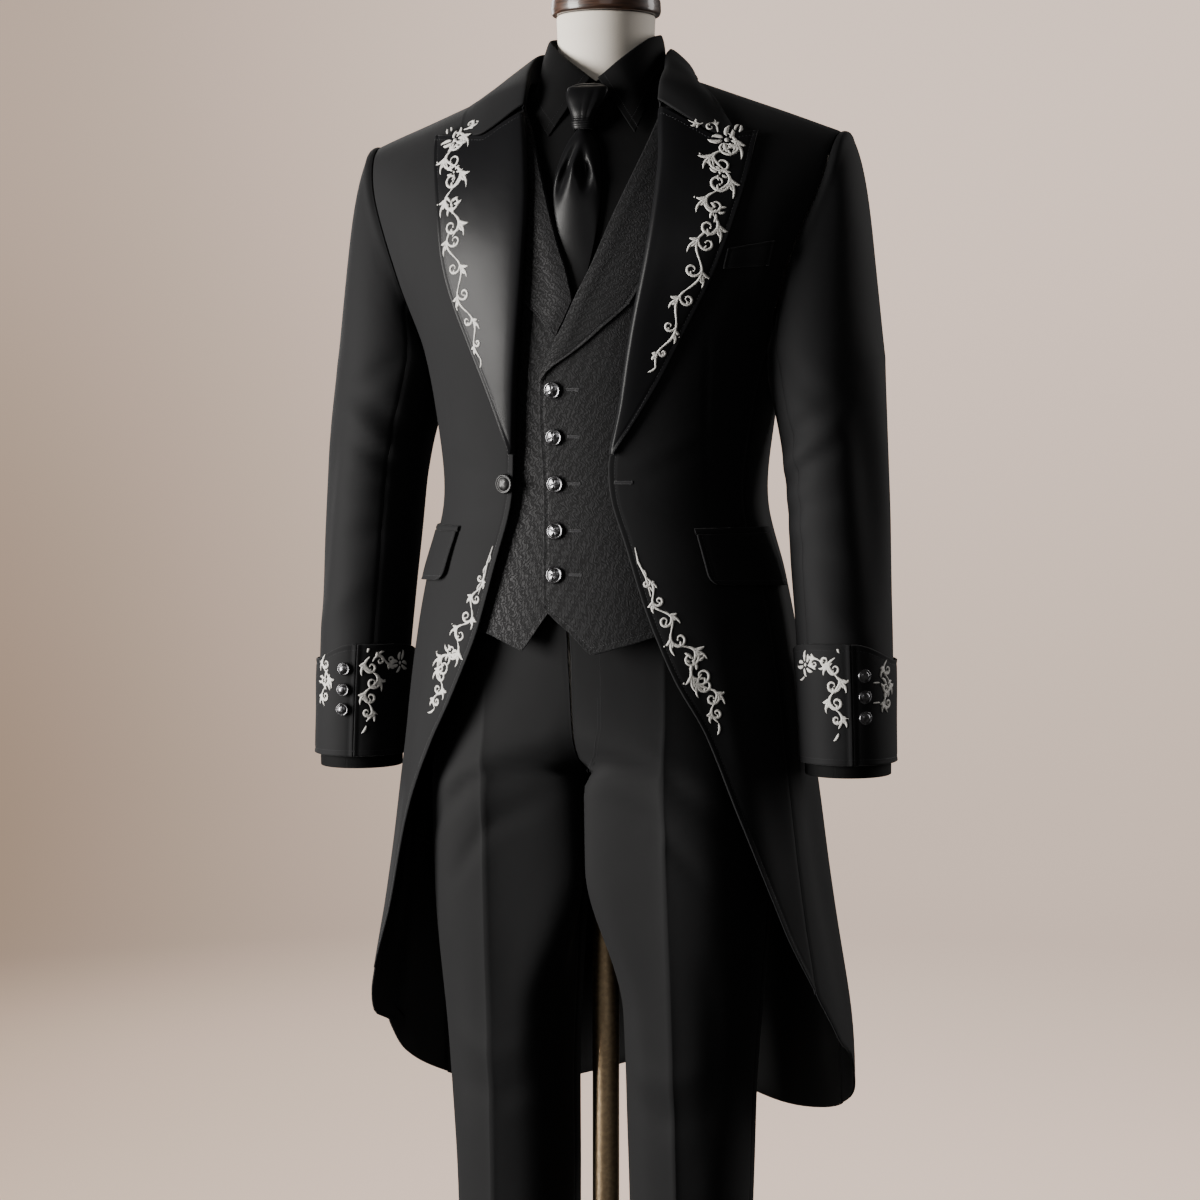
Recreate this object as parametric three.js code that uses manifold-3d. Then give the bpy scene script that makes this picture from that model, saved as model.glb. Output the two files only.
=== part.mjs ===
// A cutaway tailcoat suit on a limbless dress form with a pole and a round base.
// Millimetres, +Z up. The origin is the centre of the base's underside, the front faces -Y,
// and the wearer's left is +X. The cloth pieces are thin walls over one set of body rings.
import * as THREE from 'three';
import { mergeVertices } from 'three/addons/utils/BufferGeometryUtils.js';
import Module from 'manifold-3d';

const wasm = await Module();
wasm.setup();

// Driving heights
const ARM_Z = 1300;        // lowest point of the armhole
const SHOULDER_Z = 1540;   // nominal height of the shoulder seam
const NECK_POINT_X = 85;   // where the shoulder seam meets the neck
const NECK_POINT_Z = 1558;
const SHOULDER_FALL = 0.375;
const TAIL_SEAM_Z = 676;   // where the cutaway edge reaches the side seam
const CUFF_Z = { L: 903, R: 893 };   // coat sleeve hem
const CUFF_TOP_Z = { L: 1016, R: 1004 };
const SHIRT_CUFF_Z = { L: 889, R: 879 };
const TROUSER_HEM_Z = 70;
const WAISTBAND_Z = 1086;
const WAIST_TOP_Z = 1124;

// Cloth and gaps
const COAT_T = 2;
const LIE = 0.9;           // what lies on a panel clears its facets
const SEAM = 0.25;         // half the gap at a seam
const SQUARENESS = 2.3;    // exponent of the body's oval

// How far each layer stands off the coat's inside, and how high it lies on the shoulder
const LAYERS = {
  shirt: { off: -16, t: 1.4, lift: 0.7 },
  waistcoat: { off: -9, t: 1.6, lift: 2.6 },
  coat: { off: 0, t: COAT_T, lift: 6.6 },
};

// How finely round pieces are faceted
const CUFF_SIDES = 18;
const BUTTON_SIDES = 9;

// Columns: height, half width, front depth, back depth
const COAT_RINGS = [
  [500, 251, 161, 198],
  [620, 246, 158, 188],
  [760, 224, 150, 168],
  [900, 206, 142, 150],
  [1000, 193, 137, 140],
  [1080, 178, 130, 130],
  [1150, 161, 123, 116],
  [1220, 166, 127, 114],
  [1300, 181, 137, 122],
  [1380, 212, 140, 126],
  [1450, 238, 136, 120],
  [1540, 268, 126, 108],
];
const FORM_RINGS = [
  [905, 120, 66, 78],
  [918, 144, 84, 94],
  [950, 158, 96, 106],
  [1000, 160, 99, 106],
  [1060, 152, 103, 103],
  [1120, 147, 104, 99],
  [1150, 140, 102, 95],
  [1220, 145, 106, 93],
  [1300, 155, 113, 97],
  [1380, 187, 116, 101],
  [1450, 214, 112, 93],
  [1540, 247, 98, 64],
];
// Columns: height, how far the pressed crease lies from the centre
const TROUSER_CREASE_X = [[70, 97], [455, 97], [752, 95], [1000, 92], [1124, 90]];
// Columns: height, centre x, centre y, half width, half depth, crease height
const TROUSER_RINGS = [
  [70, 90, 3, 52, 59, 5],
  [455, 92, -3, 59, 63, 5],
  [590, 94, -9, 63, 66, 5],
  [752, 97, -10, 73, 80, 5],
  [868, 95, -1, 78, 99, 5],
  [905, 64, 5, 110, 106, 4.5],
  [940, 30, 7, 143, 109, 4],
  [1000, 0, 5, 171, 113, 3],
  [1040, 0, 2, 169, 116, 1],
  [1086, 0, 0, 164.5, 117, 0],
  [1124, 0, -2.6, 154.4, 110.6, 0],
];
// Columns: height, centre x, centre y, half width, half depth
const SLEEVE_RINGS = [
  [870, 256, -25, 42, 46],
  [900, 256, -25, 42.5, 46.5],
  [1000, 252, -22, 44, 49],
  [1090, 246.5, -18, 46, 52],
  [1200, 238, -12, 49, 56],
  [1290, 225, -3, 57, 63],
  [1320, 223, -2, 58, 64],
];
// Columns: nominal height, angle round from the front
const ARMHOLE = [[1314, 77], [1335, 72.5], [1380, 68], [1430, 66.5], [1480, 66], [1540, 61]];
// The coat's cutaway edge and then its roll line, up to the neck
const COAT_EDGE = {
  L: [[604, 95], [624, 87], [696, 70.8], [773, 59.4], [844, 50.3], [930, 40.3], [979, 31.6],
    [1028, 25.4], [1065, 21.7], [1115, 17.6], [1153, 14], [1182, 13.1], [1201, 13.8], [1248, 16.8], [1329, 19.5],
    [1398, 20.1], [1459, 18.6], [1510, 14.9], [1540, 13.8]],
  R: [[604, 95], [624, 84], [686, 67.5], [739, 60.3], [802, 55.3], [859, 50.1], [915, 42], [957, 33.9],
    [1013, 26.2], [1056, 22.8], [1109, 19.6], [1152, 17], [1191, 15.8], [1249, 13.6], [1338, 9],
    [1386, 7.6], [1435, 7.4], [1495, 10], [1540, 13.8]],
};
const LAPEL_EDGE = {
  L: [[1197, 14.4], [1229, 21.5], [1277, 30.9], [1341, 38.7], [1399, 41], [1459, 40.7], [1508, 38.3]],
  R: [[1197, 16.2], [1249, 22.4], [1297, 28.1], [1334, 31.4], [1381, 32.8], [1439, 32.2], [1508, 33.2]],
};
// Height of the gorge at the roll line, then the angle and height of the notch
const LAPEL_TOP = {
  L: { gorge: 1508, notch: 28.1, low: 1491 },
  R: { gorge: 1498, notch: 19.5, low: 1486 },
};
const SIDE_SEAM = [[560, 75], [1000, 74], [1150, 72], [1250, 74], [1314, 77]];
const BACK_SEAM = [[500, 122], [800, 118], [1000, 112], [1150, 106], [1250, 103], [1314, 103]];
const CENTRE_BACK = [[500, 178.2], [900, 179.2], [1050, 179.9], [1507, 179.9], [1528, 172], [1540, 166.2]];
// Columns: angle, height of the tail's rounded hem
const TAIL_HEM = [[95, 604], [104, 566], [120, 534], [135, 517], [150, 513], [165, 527], [180, 550]];
const WAISTCOAT_EDGE = {
  L: [[1046, -4.4], [1057, -4.6], [1172, -6.5], [1263, -6], [1300, -1.5], [1339, 3], [1366, 6.4],
    [1405, 9.9], [1450, 13.3], [1488, 15.1], [1540, 15.5]],
  R: [[1046, 5], [1172, 5], [1263, 5], [1300, 4.6], [1337, 2.4], [1378, -0.3], [1425, -3.7], [1479, -8],
    [1510, -11.5], [1540, -15.5]],
};
const WAISTCOAT_LAPEL = {
  L: [[1264, -5.6], [1272, -4.3], [1291, 1.8], [1313, 9.9], [1334, 17.4], [1370, 23], [1430, 25],
    [1490, 23], [1530, 19]],
  R: [[1308, -1.3], [1324, -5], [1338, -9.6], [1370, -16], [1430, -20], [1490, -21], [1530, -19]],
};
// Columns: angle, height
const WAISTCOAT_HEM = {
  L: [[-4.4, 1050], [6.6, 1005], [26, 1023], [60, 1036], [90, 1040]],
  R: [[-5, 1075], [2.1, 1052], [10.4, 1007], [22.3, 1022], [60, 1036], [90, 1040]],
};
const WAISTCOAT_ARMHOLE = [[1040, 89.8], [1262, 89.8], [1285, 80], [1305, 66], [1340, 55], [1380, 47],
  [1430, 40], [1480, 36], [1540, 31]];
// Heights of the rows that every layer shares near the shoulder
const TOP_ROWS = [1494, 1518, 1532, 1540];

const CLOTH = { color: 0x101012, roughness: 0.85, metalness: 0 };
const FINISHES = {
  coat_cloth: CLOTH,
  satin: { color: 0x17171a, roughness: 0.4, metalness: 0 },
  brocade: { color: 0x1a1a1d, roughness: 0.7, metalness: 0 },
  trouser_cloth: CLOTH,
  shirt_cotton: { color: 0x0c0c0e, roughness: 0.8, metalness: 0 },
  button_metal: { color: 0x8d8d92, roughness: 0.3, metalness: 0.9 },
  button_horn: { color: 0x151517, roughness: 0.35, metalness: 0 },
  form_linen: { color: 0xe4dccd, roughness: 0.9, metalness: 0 },
  dark_wood: { color: 0x2a1710, roughness: 0.35, metalness: 0 },
  brass: { color: 0xa88a55, roughness: 0.3, metalness: 1 },
  painted_base: { color: 0x1c1a19, roughness: 0.5, metalness: 0.3 },
};

const suit = new THREE.Group();

const lerp = THREE.MathUtils.lerp;
const clamp = THREE.MathUtils.clamp;
const smoothstep = THREE.MathUtils.smoothstep;
const vec = (x, y, z) => new THREE.Vector3(x, y, z);
const sides = [['L', 1], ['R', -1]];

// Smooth interpolation of a table whose first column rises
function along(rows, at) {
  const last = rows.length - 1;
  if (at <= rows[0][0]) return rows[0].slice(1);
  if (at >= rows[last][0]) return rows[last].slice(1);
  const i = rows.findIndex((row) => row[0] > at) - 1;
  const span = rows[i + 1][0] - rows[i][0];
  const t = (at - rows[i][0]) / span;
  const slope = (j, k) => {
    const lo = Math.max(j - 1, 0);
    const hi = Math.min(j + 1, last);
    return (rows[hi][k] - rows[lo][k]) / (rows[hi][0] - rows[lo][0]) * span;
  };
  return rows[0].slice(1).map((_, n) => {
    const k = n + 1;
    return (2 * t ** 3 - 3 * t ** 2 + 1) * rows[i][k] + (t ** 3 - 2 * t ** 2 + t) * slope(i, k)
      + (3 * t ** 2 - 2 * t ** 3) * rows[i + 1][k] + (t ** 3 - t ** 2) * slope(i + 1, k);
  });
}

// Straight interpolation, for edges with corners
function straight(rows, at) {
  const last = rows.length - 1;
  const i = clamp(rows.findIndex((row) => row[0] > at) - 1, 0, last - 1);
  if (at >= rows[last][0]) return rows[last][1];
  const t = clamp((at - rows[i][0]) / (rows[i + 1][0] - rows[i][0]), 0, 1);
  return lerp(rows[i][1], rows[i + 1][1], t);
}

const power = (v) => Math.sign(v) * Math.abs(v) ** (2 / SQUARENESS);
const shoulderHeight = (x) => NECK_POINT_Z - SHOULDER_FALL * (Math.hypot(x, 30) - NECK_POINT_X);

// A point of the figure: angle in degrees from the centre front towards the wearer's left,
// nominal height, distance out from the rings, and height above the bare shoulder
function onBody(rings, angle, height, off, lift) {
  const [half, front, back] = along(rings, height);
  const a = THREE.MathUtils.degToRad(angle);
  const x = (half + off) * power(Math.sin(a));
  const c = power(Math.cos(a));
  const h = clamp((height - ARM_Z) / (SHOULDER_Z - ARM_Z), 0, 1);
  const round = Math.sqrt(1 - h ** 2.6);
  const y = -(c > 0 ? front + off : back + off) * c * round - Math.sign(c) * (h > 0.9 ? SEAM : 0);
  const z = h > 0 ? ARM_Z + h * (shoulderHeight(x) - ARM_Z) + lift * smoothstep(h, 0.35, 1) : height;
  return vec(x, y, z);
}

// The y of the front surface at a given x and real height
function frontOfBody(x, z, off) {
  const h = (z - ARM_Z) / (shoulderHeight(x) - ARM_Z);
  const height = h > 0 ? lerp(ARM_Z, SHOULDER_Z, h) : z;
  const [half, front] = along(COAT_RINGS, height);
  const across = 1 - (Math.abs(x) / (half + off)) ** SQUARENESS;
  return -(front + off) * across ** (1 / SQUARENESS) * Math.sqrt(1 - Math.max(h, 0) ** 2.6);
}

const mirrored = (p, side) => vec(p.x * side, p.y, p.z);

function solid(points, faces) {
  const geometry = new THREE.BufferGeometry();
  const numbers = points.flatMap((p) => [p.x, p.y, p.z]);
  geometry.setAttribute('position', new THREE.Float32BufferAttribute(numbers, 3));
  let volume = 0;
  for (const [a, b, c] of faces) volume += points[a].dot(points[b].clone().cross(points[c]));
  geometry.setIndex(faces.flatMap(([a, b, c]) => (volume < 0 ? [a, c, b] : [a, b, c])));
  return geometry;
}

// A wall between two grids of points; round joins the last column to the first
function wall(outer, inner, round = false) {
  const rows = outer.length;
  const cols = outer[0].length;
  const points = [...outer.flat(), ...inner.flat()];
  const at = (layer, r, c) => layer * rows * cols + r * cols + (c % cols);
  const faces = [];
  const quad = (a, b, c, d) => faces.push([a, b, c], [a, c, d]);
  const lastCol = round ? cols : cols - 1;
  for (let r = 0; r < rows - 1; r += 1) {
    for (let c = 0; c < lastCol; c += 1) {
      quad(at(0, r, c), at(0, r, c + 1), at(0, r + 1, c + 1), at(0, r + 1, c));
      quad(at(1, r, c), at(1, r + 1, c), at(1, r + 1, c + 1), at(1, r, c + 1));
    }
    if (!round) {
      quad(at(0, r, 0), at(0, r + 1, 0), at(1, r + 1, 0), at(1, r, 0));
      quad(at(0, r, cols - 1), at(1, r, cols - 1), at(1, r + 1, cols - 1), at(0, r + 1, cols - 1));
    }
  }
  for (let c = 0; c < lastCol; c += 1) {
    quad(at(0, 0, c), at(1, 0, c), at(1, 0, c + 1), at(0, 0, c + 1));
    quad(at(0, rows - 1, c), at(0, rows - 1, c + 1), at(1, rows - 1, c + 1), at(1, rows - 1, c));
  }
  return solid(points, faces);
}

// A filled solid through rings of points, closed by a fan at each end
function loft(rings) {
  const n = rings[0].length;
  const points = rings.flat();
  const faces = [];
  for (let r = 0; r < rings.length - 1; r += 1) {
    for (let c = 0; c < n; c += 1) {
      const d = (c + 1) % n;
      faces.push([r * n + c, r * n + d, (r + 1) * n + d], [r * n + c, (r + 1) * n + d, (r + 1) * n + c]);
    }
  }
  for (const [ring, flip] of [[0, true], [rings.length - 1, false]]) {
    const middle = rings[ring].reduce((sum, p) => sum.add(p), vec(0, 0, 0)).divideScalar(n);
    points.push(middle);
    for (let c = 0; c < n; c += 1) {
      const a = ring * n + c;
      const b = ring * n + ((c + 1) % n);
      faces.push(flip ? [b, a, points.length - 1] : [a, b, points.length - 1]);
    }
  }
  return solid(points, faces);
}

function piece(name, finish, geometry) {
  const mesh = new THREE.Mesh(geometry, new THREE.MeshStandardMaterial(FINISHES[finish]));
  mesh.name = name;
  suit.add(mesh);
  return mesh;
}

const steps = (from, to, count) => Array.from({ length: count + 1 }, (_, i) => lerp(from, to, i / count));

// A garment panel: rows of heights between a left and a right edge, which give angles.
// hem and crown move the lowest and highest rows, and the move fades out over hemSpan or crownSpan.
function panelGrid({ rows, cols, left, right, hem, crown, hemSpan = 130, crownSpan = 60, place }) {
  const [low, high] = [rows[0], rows.at(-1)];
  return rows.map((row) => steps(0, 1, cols).map((s) => {
    const angleAt = (z) => lerp(left(z), right(z), s);
    let height = row;
    if (hem) height += (hem(angleAt(row)) - low) * clamp(1 - (row - low) / hemSpan, 0, 1);
    if (crown) height += (crown(angleAt(row)) - high) * clamp(1 - (high - row) / crownSpan, 0, 1);
    return place(angleAt(height), height);
  }));
}

function panel(name, finish, layer, shape, side = 1, raise = () => 0) {
  const { off, t, lift } = LAYERS[layer];
  const grid = (out) => panelGrid({
    ...shape,
    place: (angle, height) => mirrored(
      onBody(COAT_RINGS, angle, height, off + out + raise(angle, height), lift + out), side),
  });
  return piece(name, finish, wall(grid(t), grid(0)));
}

const armholeAngle = (height) => (height < ARMHOLE[0][0]
  ? 90 - 13 * Math.sqrt(clamp((height - ARM_Z) / 14, 0, 1))
  : along(ARMHOLE, height)[0]);
const armholeHeight = (angle) => ARM_Z + 14 * ((angle - 90) / 13) ** 2;

// Coat body: front, side and back panels. The vent between the backs opens below the waist seam.
const COAT_ROWS = [760, 850, 930, 1000, 1060, 1110, 1150, 1190, 1230, 1272, 1314, 1350, 1390, 1430, 1462];
const SIDE_TOP_ROW = 1296;
const sideRows = COAT_ROWS.filter((z) => z < SIDE_TOP_ROW);
function coatBody() {
  for (const [tag, side] of sides) {
    const edge = (z) => along(COAT_EDGE[tag], z)[0];
    const sideSeam = (z) => along(SIDE_SEAM, z)[0];
    const backSeam = (z) => along(BACK_SEAM, z)[0];
    panel(`coat_front_${tag}`, 'coat_cloth', 'coat', {
      rows: [TAIL_SEAM_Z, 712, ...COAT_ROWS, ...TOP_ROWS],
      cols: 8,
      left: (z) => Math.min(edge(z), sideSeam(z) - 0.8),
      right: (z) => (z > ARMHOLE[0][0] ? armholeAngle(z) : sideSeam(z)) - 0.08,
    }, side);
    panel(`coat_side_${tag}`, 'coat_cloth', 'coat', {
      rows: [604, 624, 648, TAIL_SEAM_Z, 712, ...sideRows, SIDE_TOP_ROW],
      cols: 5,
      left: (z) => Math.max(sideSeam(z) + 0.12, edge(z)),
      right: (z) => backSeam(z) - 0.1,
      hem: (angle) => along(TAIL_HEM, angle)[0],
      crown: armholeHeight,
    }, side);
    panel(`coat_back_${tag}`, 'coat_cloth', 'coat', {
      rows: [545, 590, 650, 712, ...COAT_ROWS, ...TOP_ROWS],
      cols: 6,
      left: (z) => (z > ARMHOLE[0][0] ? 180 - armholeAngle(z) : backSeam(z)) + 0.1,
      right: (z) => straight(CENTRE_BACK, z),
      hem: (angle) => along(TAIL_HEM, angle)[0],
    }, side);
  }
}

// Lapels with a peak, lying on the fronts from the roll line outwards
function coatLapels() {
  for (const [tag, side] of sides) {
    const { gorge, notch, low } = LAPEL_TOP[tag];
    const [peakHeight, peak] = LAPEL_EDGE[tag].at(-1);
    const top = (angle) => (angle > notch
      ? lerp(low, peakHeight, (angle - notch) / (peak - notch))
      : lerp(gorge, low, (angle - 10) / (notch - 10)));
    const grid = (out) => panelGrid({
      rows: [1197, 1230, 1272, 1314, 1350, 1390, 1430, 1462, TOP_ROWS[0], 1508],
      cols: 5,
      left: (z) => along(COAT_EDGE[tag], z)[0] + 0.2,
      right: (z) => Math.max(along(LAPEL_EDGE[tag], z)[0], along(COAT_EDGE[tag], z)[0] + 1.2),
      crown: top,
      place: (angle, height) => {
        const rise = COAT_T + LIE + smoothstep(height, 1420, 1500) + out;
        return mirrored(onBody(COAT_RINGS, angle, height, rise, LAYERS.coat.lift + rise), side);
      },
    });
    piece(`coat_lapel_${tag}`, 'satin', wall(grid(1.8), grid(0)));
  }
}

// Columns: place along the collar from the front end to the centre back, then for the outer edge
// its angle and height on the coat, and for the crease its x, y, z
const COLLAR_OUTER = [[0.12, 25.5, 1524], [0.25, 21, 1533], [0.4, 17.8, 1538.5], [0.5, 16.8, 1540],
  [0.5, 163.2, 1540], [0.65, 165, 1534], [0.82, 170.5, 1515], [1, 180, 1492]];
const COLLAR_CREASE = [[0.4, 70, -18, 1584], [0.5, 68, 0, 1591], [0.65, 60, 29, 1592], [0.82, 41.5, 55, 1591],
  [1, 0, 67, 1590]];
// The front end of each side: the crease, the notch and the corner
const COLLAR_END = {
  L: {
    crease: [[0, 82, -75.5, 1534], [0.12, 79, -63, 1555], [0.25, 76, -40, 1570]],
    notch: [28.1, 1495],
    corner: [0, 32.4, 1503.5],
  },
  R: {
    crease: [[0, 59, -83, 1534], [0.12, 60, -71, 1554], [0.25, 66, -46, 1570]],
    notch: [19.5, 1491],
    corner: [0, 25.5, 1501],
  },
};
function coatCollar() {
  const stations = [0, 0.06, 0.12, 0.25, 0.4, 0.5, 0.65, 0.82, 1];
  const bed = COAT_T + LIE + 1;
  const onCoat = (angle, height, out) => (
    onBody(COAT_RINGS, angle, height, bed + out, LAYERS.coat.lift + bed + out));
  const section = (tag, u, out) => {
    const end = COLLAR_END[tag];
    const outerRows = [end.corner, ...COLLAR_OUTER].filter((row, i) => (u <= 0.5 ? i < 5 : i > 4));
    const [x, y, z] = along([...end.crease, ...COLLAR_CREASE], u);
    const away = vec(x, y, 0).normalize();
    const outer = onCoat(...along(outerRows, u), out);
    const crease = vec(x, y, z).addScaledVector(away, out * 0.5).add(vec(0, 0, out));
    const mid = crease.clone().lerp(outer, 0.55).addScaledVector(away, 2 + out * 0.4).add(vec(0, 0, 1.5));
    mid.lerp(onCoat(...end.notch, out), clamp(1 - u / 0.12, 0, 1));
    const drop = lerp(5, 19, smoothstep(u, 0.15, 0.4));
    const stand = vec(x, y, z - drop).addScaledVector(away, -3 - out);
    const turn = vec(x, y, z - 2).addScaledVector(away, -1.6 - out);
    return [outer, mid, crease, turn, stand];
  };
  const grid = (out) => [
    ...stations.map((u) => section('L', u, out)),
    ...[...stations].reverse().slice(1).map((u) => section('R', u, out).map((p) => mirrored(p, -1))),
  ];
  piece('coat_collar', 'coat_cloth', wall(grid(2), grid(0)));
}

// The armhole loop, as a function of the direction round the arm: 0 in front, 90 on the shoulder
function armholePoint(turn, out) {
  const a = THREE.MathUtils.degToRad(turn);
  const height = ARM_Z + (SHOULDER_Z - ARM_Z) * (1 + Math.sin(a)) / 2;
  const angle = armholeAngle(height);
  return onBody(COAT_RINGS, Math.cos(a) < 0 ? 180 - angle : angle, height, out, LAYERS.coat.lift + out);
}

function sleeveRing(turn, height, out) {
  const [cx, cy, rx, ry] = along(SLEEVE_RINGS, height);
  const a = THREE.MathUtils.degToRad(turn);
  return vec(cx + (rx + out) * Math.sin(a), cy - (ry + out) * Math.cos(a), height);
}

// Keeps the inner side of the arm clear of the coat body
function clearOfBody(p, gap) {
  if (p.z > SLEEVE_RINGS.at(-1)[0]) return p;
  const [half, front, back] = along(COAT_RINGS, p.z);
  const depth = (p.y < 0 ? front : back) + gap;
  const share = Math.abs(p.y) / depth;
  if (share >= 1) return p;
  const limit = (half + gap) * (1 - share ** SQUARENESS) ** (1 / SQUARENESS);
  return vec(Math.max(p.x, limit), p.y, p.z);
}

const SLEEVE_TOP = 1290;
const SLEEVE_T = 1.8;
const CAP_STEPS = [0, 0.12, 0.28, 0.46, 0.64, 0.82];
const ARM_HEIGHTS = [SLEEVE_TOP, 1235, 1180, 1120, 1060, 1000, 945];

function sleeveLine(turn, hem, shrink = 0) {
  const out = SLEEVE_T - shrink;
  const start = armholePoint(turn, SLEEVE_T).add(vec(1.3 + shrink, 0, -shrink));
  const end = sleeveRing(turn, SLEEVE_TOP, out);
  const high = clamp((start.z - ARM_Z) / (SHOULDER_Z - ARM_Z), 0, 1);
  const leave = vec(lerp(0.35, 1, high), 0, lerp(-1, 0.22, high)).normalize();
  const first = start.clone().addScaledVector(leave, lerp(4, 26, high));
  const second = end.clone().add(vec(-0.13, 0, 1).multiplyScalar(lerp(6, 108, high)));
  const cap = new THREE.CubicBezierCurve3(start, first, second, end);
  const arm = [...ARM_HEIGHTS, hem].map((z) => sleeveRing(turn, z, out));
  const points = [...CAP_STEPS.map((t) => cap.getPoint(t)), ...arm];
  return points.map((p) => clearOfBody(p, COAT_T + SLEEVE_T + shrink));
}

// Which rows of a sleeve the shirt's narrower one keeps, and how far it stays inside it
const SHIRT_SLEEVE_ROWS = [5, 7, 9, 11];
const SHIRT_SHRINK = 6.6;
const SHIRT_CUFF_IN = 0.95;
const SHIRT_T = 1.2;

const tube = (turns, line) => {
  const lines = turns.map(line);
  return lines[0].map((_, r) => lines.map((l) => l[r]));
};

// The inner face of a sleeve, one thickness inside its outer points
function inside(grid, thickness, round = false) {
  const cols = grid[0].length;
  const next = (c, by) => (round ? (c + by + cols) % cols : clamp(c + by, 0, cols - 1));
  return grid.map((row, r) => row.map((p, c) => {
    const across = row[next(c, 1)].clone().sub(row[next(c, -1)]);
    const down = grid[Math.min(r + 1, grid.length - 1)][c].clone().sub(grid[Math.max(r - 1, 0)][c]);
    return p.clone().addScaledVector(across.cross(down).normalize(), thickness);
  }));
}
const mirroredGrid = (grid, side) => grid.map((row) => row.map((p) => mirrored(p, side)));

function sleeves() {
  const pieces = [['upper', -35, 150, 10], ['under', 150, 325, 8]];
  for (const [tag, side] of sides) {
    for (const [part, from, to, count] of pieces) {
      const turns = steps(from + 0.3, to - 0.3, count);
      const past = (to - from) / count;
      const wider = tube([from - past, ...turns, to + past], (turn) => sleeveLine(turn, CUFF_Z[tag]));
      const inner = inside(wider, SLEEVE_T).map((row) => row.slice(1, -1));
      const outer = wider.map((row) => row.slice(1, -1));
      piece(`coat_sleeve_${part}_${tag}`, 'coat_cloth',
        wall(mirroredGrid(outer, side), mirroredGrid(inner, side)));
    }
    const around = steps(0, 360, 12).slice(0, -1);
    const shirt = tube(around, (turn) => {
      const line = sleeveLine(turn, CUFF_Z[tag], SHIRT_SHRINK);
      const cuff = [CUFF_Z[tag] + 2, SHIRT_CUFF_Z[tag]].map((z) => sleeveRing(turn, z, -SHIRT_CUFF_IN));
      return [...SHIRT_SLEEVE_ROWS.map((i) => line[i]), ...cuff];
    });
    piece(`shirt_sleeve_${tag}`, 'shirt_cotton',
      wall(mirroredGrid(shirt, side), mirroredGrid(inside(shirt, SHIRT_T, true), side), true));
  }
}

const CUFF_SLIT = { L: 21.5, R: -15 };
function cuffTop(tag, beyond) {
  return CUFF_TOP_Z[tag] - 17 * smoothstep(beyond, 4, 70) * (1 - smoothstep(beyond, 200, 320));
}
function coatCuffs() {
  for (const [tag, side] of sides) {
    const turns = steps(0.9, 359.1, CUFF_SIDES);
    const grid = (out) => [0, 0.5, 1].map((t) => turns.map((beyond) => {
      const height = lerp(CUFF_Z[tag] - 1, cuffTop(tag, beyond), t);
      return mirrored(sleeveRing(CUFF_SLIT[tag] + beyond, height, out), side);
    }));
    piece(`coat_cuff_${tag}`, 'coat_cloth', wall(grid(4.8), grid(2.8)));
  }
}

// Small pieces that lie on the coat fronts, between four corners given as angle and height
function patchOnCoat(name, finish, side, corners, cols, rows, from, to) {
  const [a, b, c, d] = corners;
  const grid = (off) => steps(0, 1, rows).map((t) => steps(0, 1, cols).map((s) => {
    const angle = lerp(lerp(a[0], b[0], s), lerp(d[0], c[0], s), t);
    const height = lerp(lerp(a[1], b[1], s), lerp(d[1], c[1], s), t);
    return mirrored(onBody(COAT_RINGS, angle, height, off, LAYERS.coat.lift), side);
  }));
  return piece(name, finish, wall(grid(to), grid(from)));
}

function pockets() {
  for (const [tag, side] of sides) {
    const front = tag === 'L' ? 44.2 : 42.6;
    const back = 89;
    const bed = COAT_T + LIE + 0.5;
    patchOnCoat(`coat_flap_${tag}`, 'coat_cloth', side,
      [[front + 1.6, 1073], [back + 1, 1069], [back, 1120], [front, 1120]], 6, 2, bed, bed + 2);
    patchOnCoat(`coat_pocket_jet_${tag}`, 'coat_cloth', side,
      [[front - 0.6, 1120.8], [back + 0.6, 1120.8], [back + 0.6, 1126], [front - 0.6, 1126]],
      6, 1, bed, bed + 1.2);
  }
  patchOnCoat('coat_breast_welt', 'coat_cloth', 1,
    [[43, 1375], [58.6, 1384], [57, 1409], [42.4, 1394]], 4, 1, COAT_T + LIE, COAT_T + LIE + 1.8);
}

// How the back neckline of the inner garments dips below the shoulder seam
const backNeck = (angle) => SHOULDER_Z - 34 * (1 - smoothstep(Math.abs(180 - angle), 2, 15));

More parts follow.
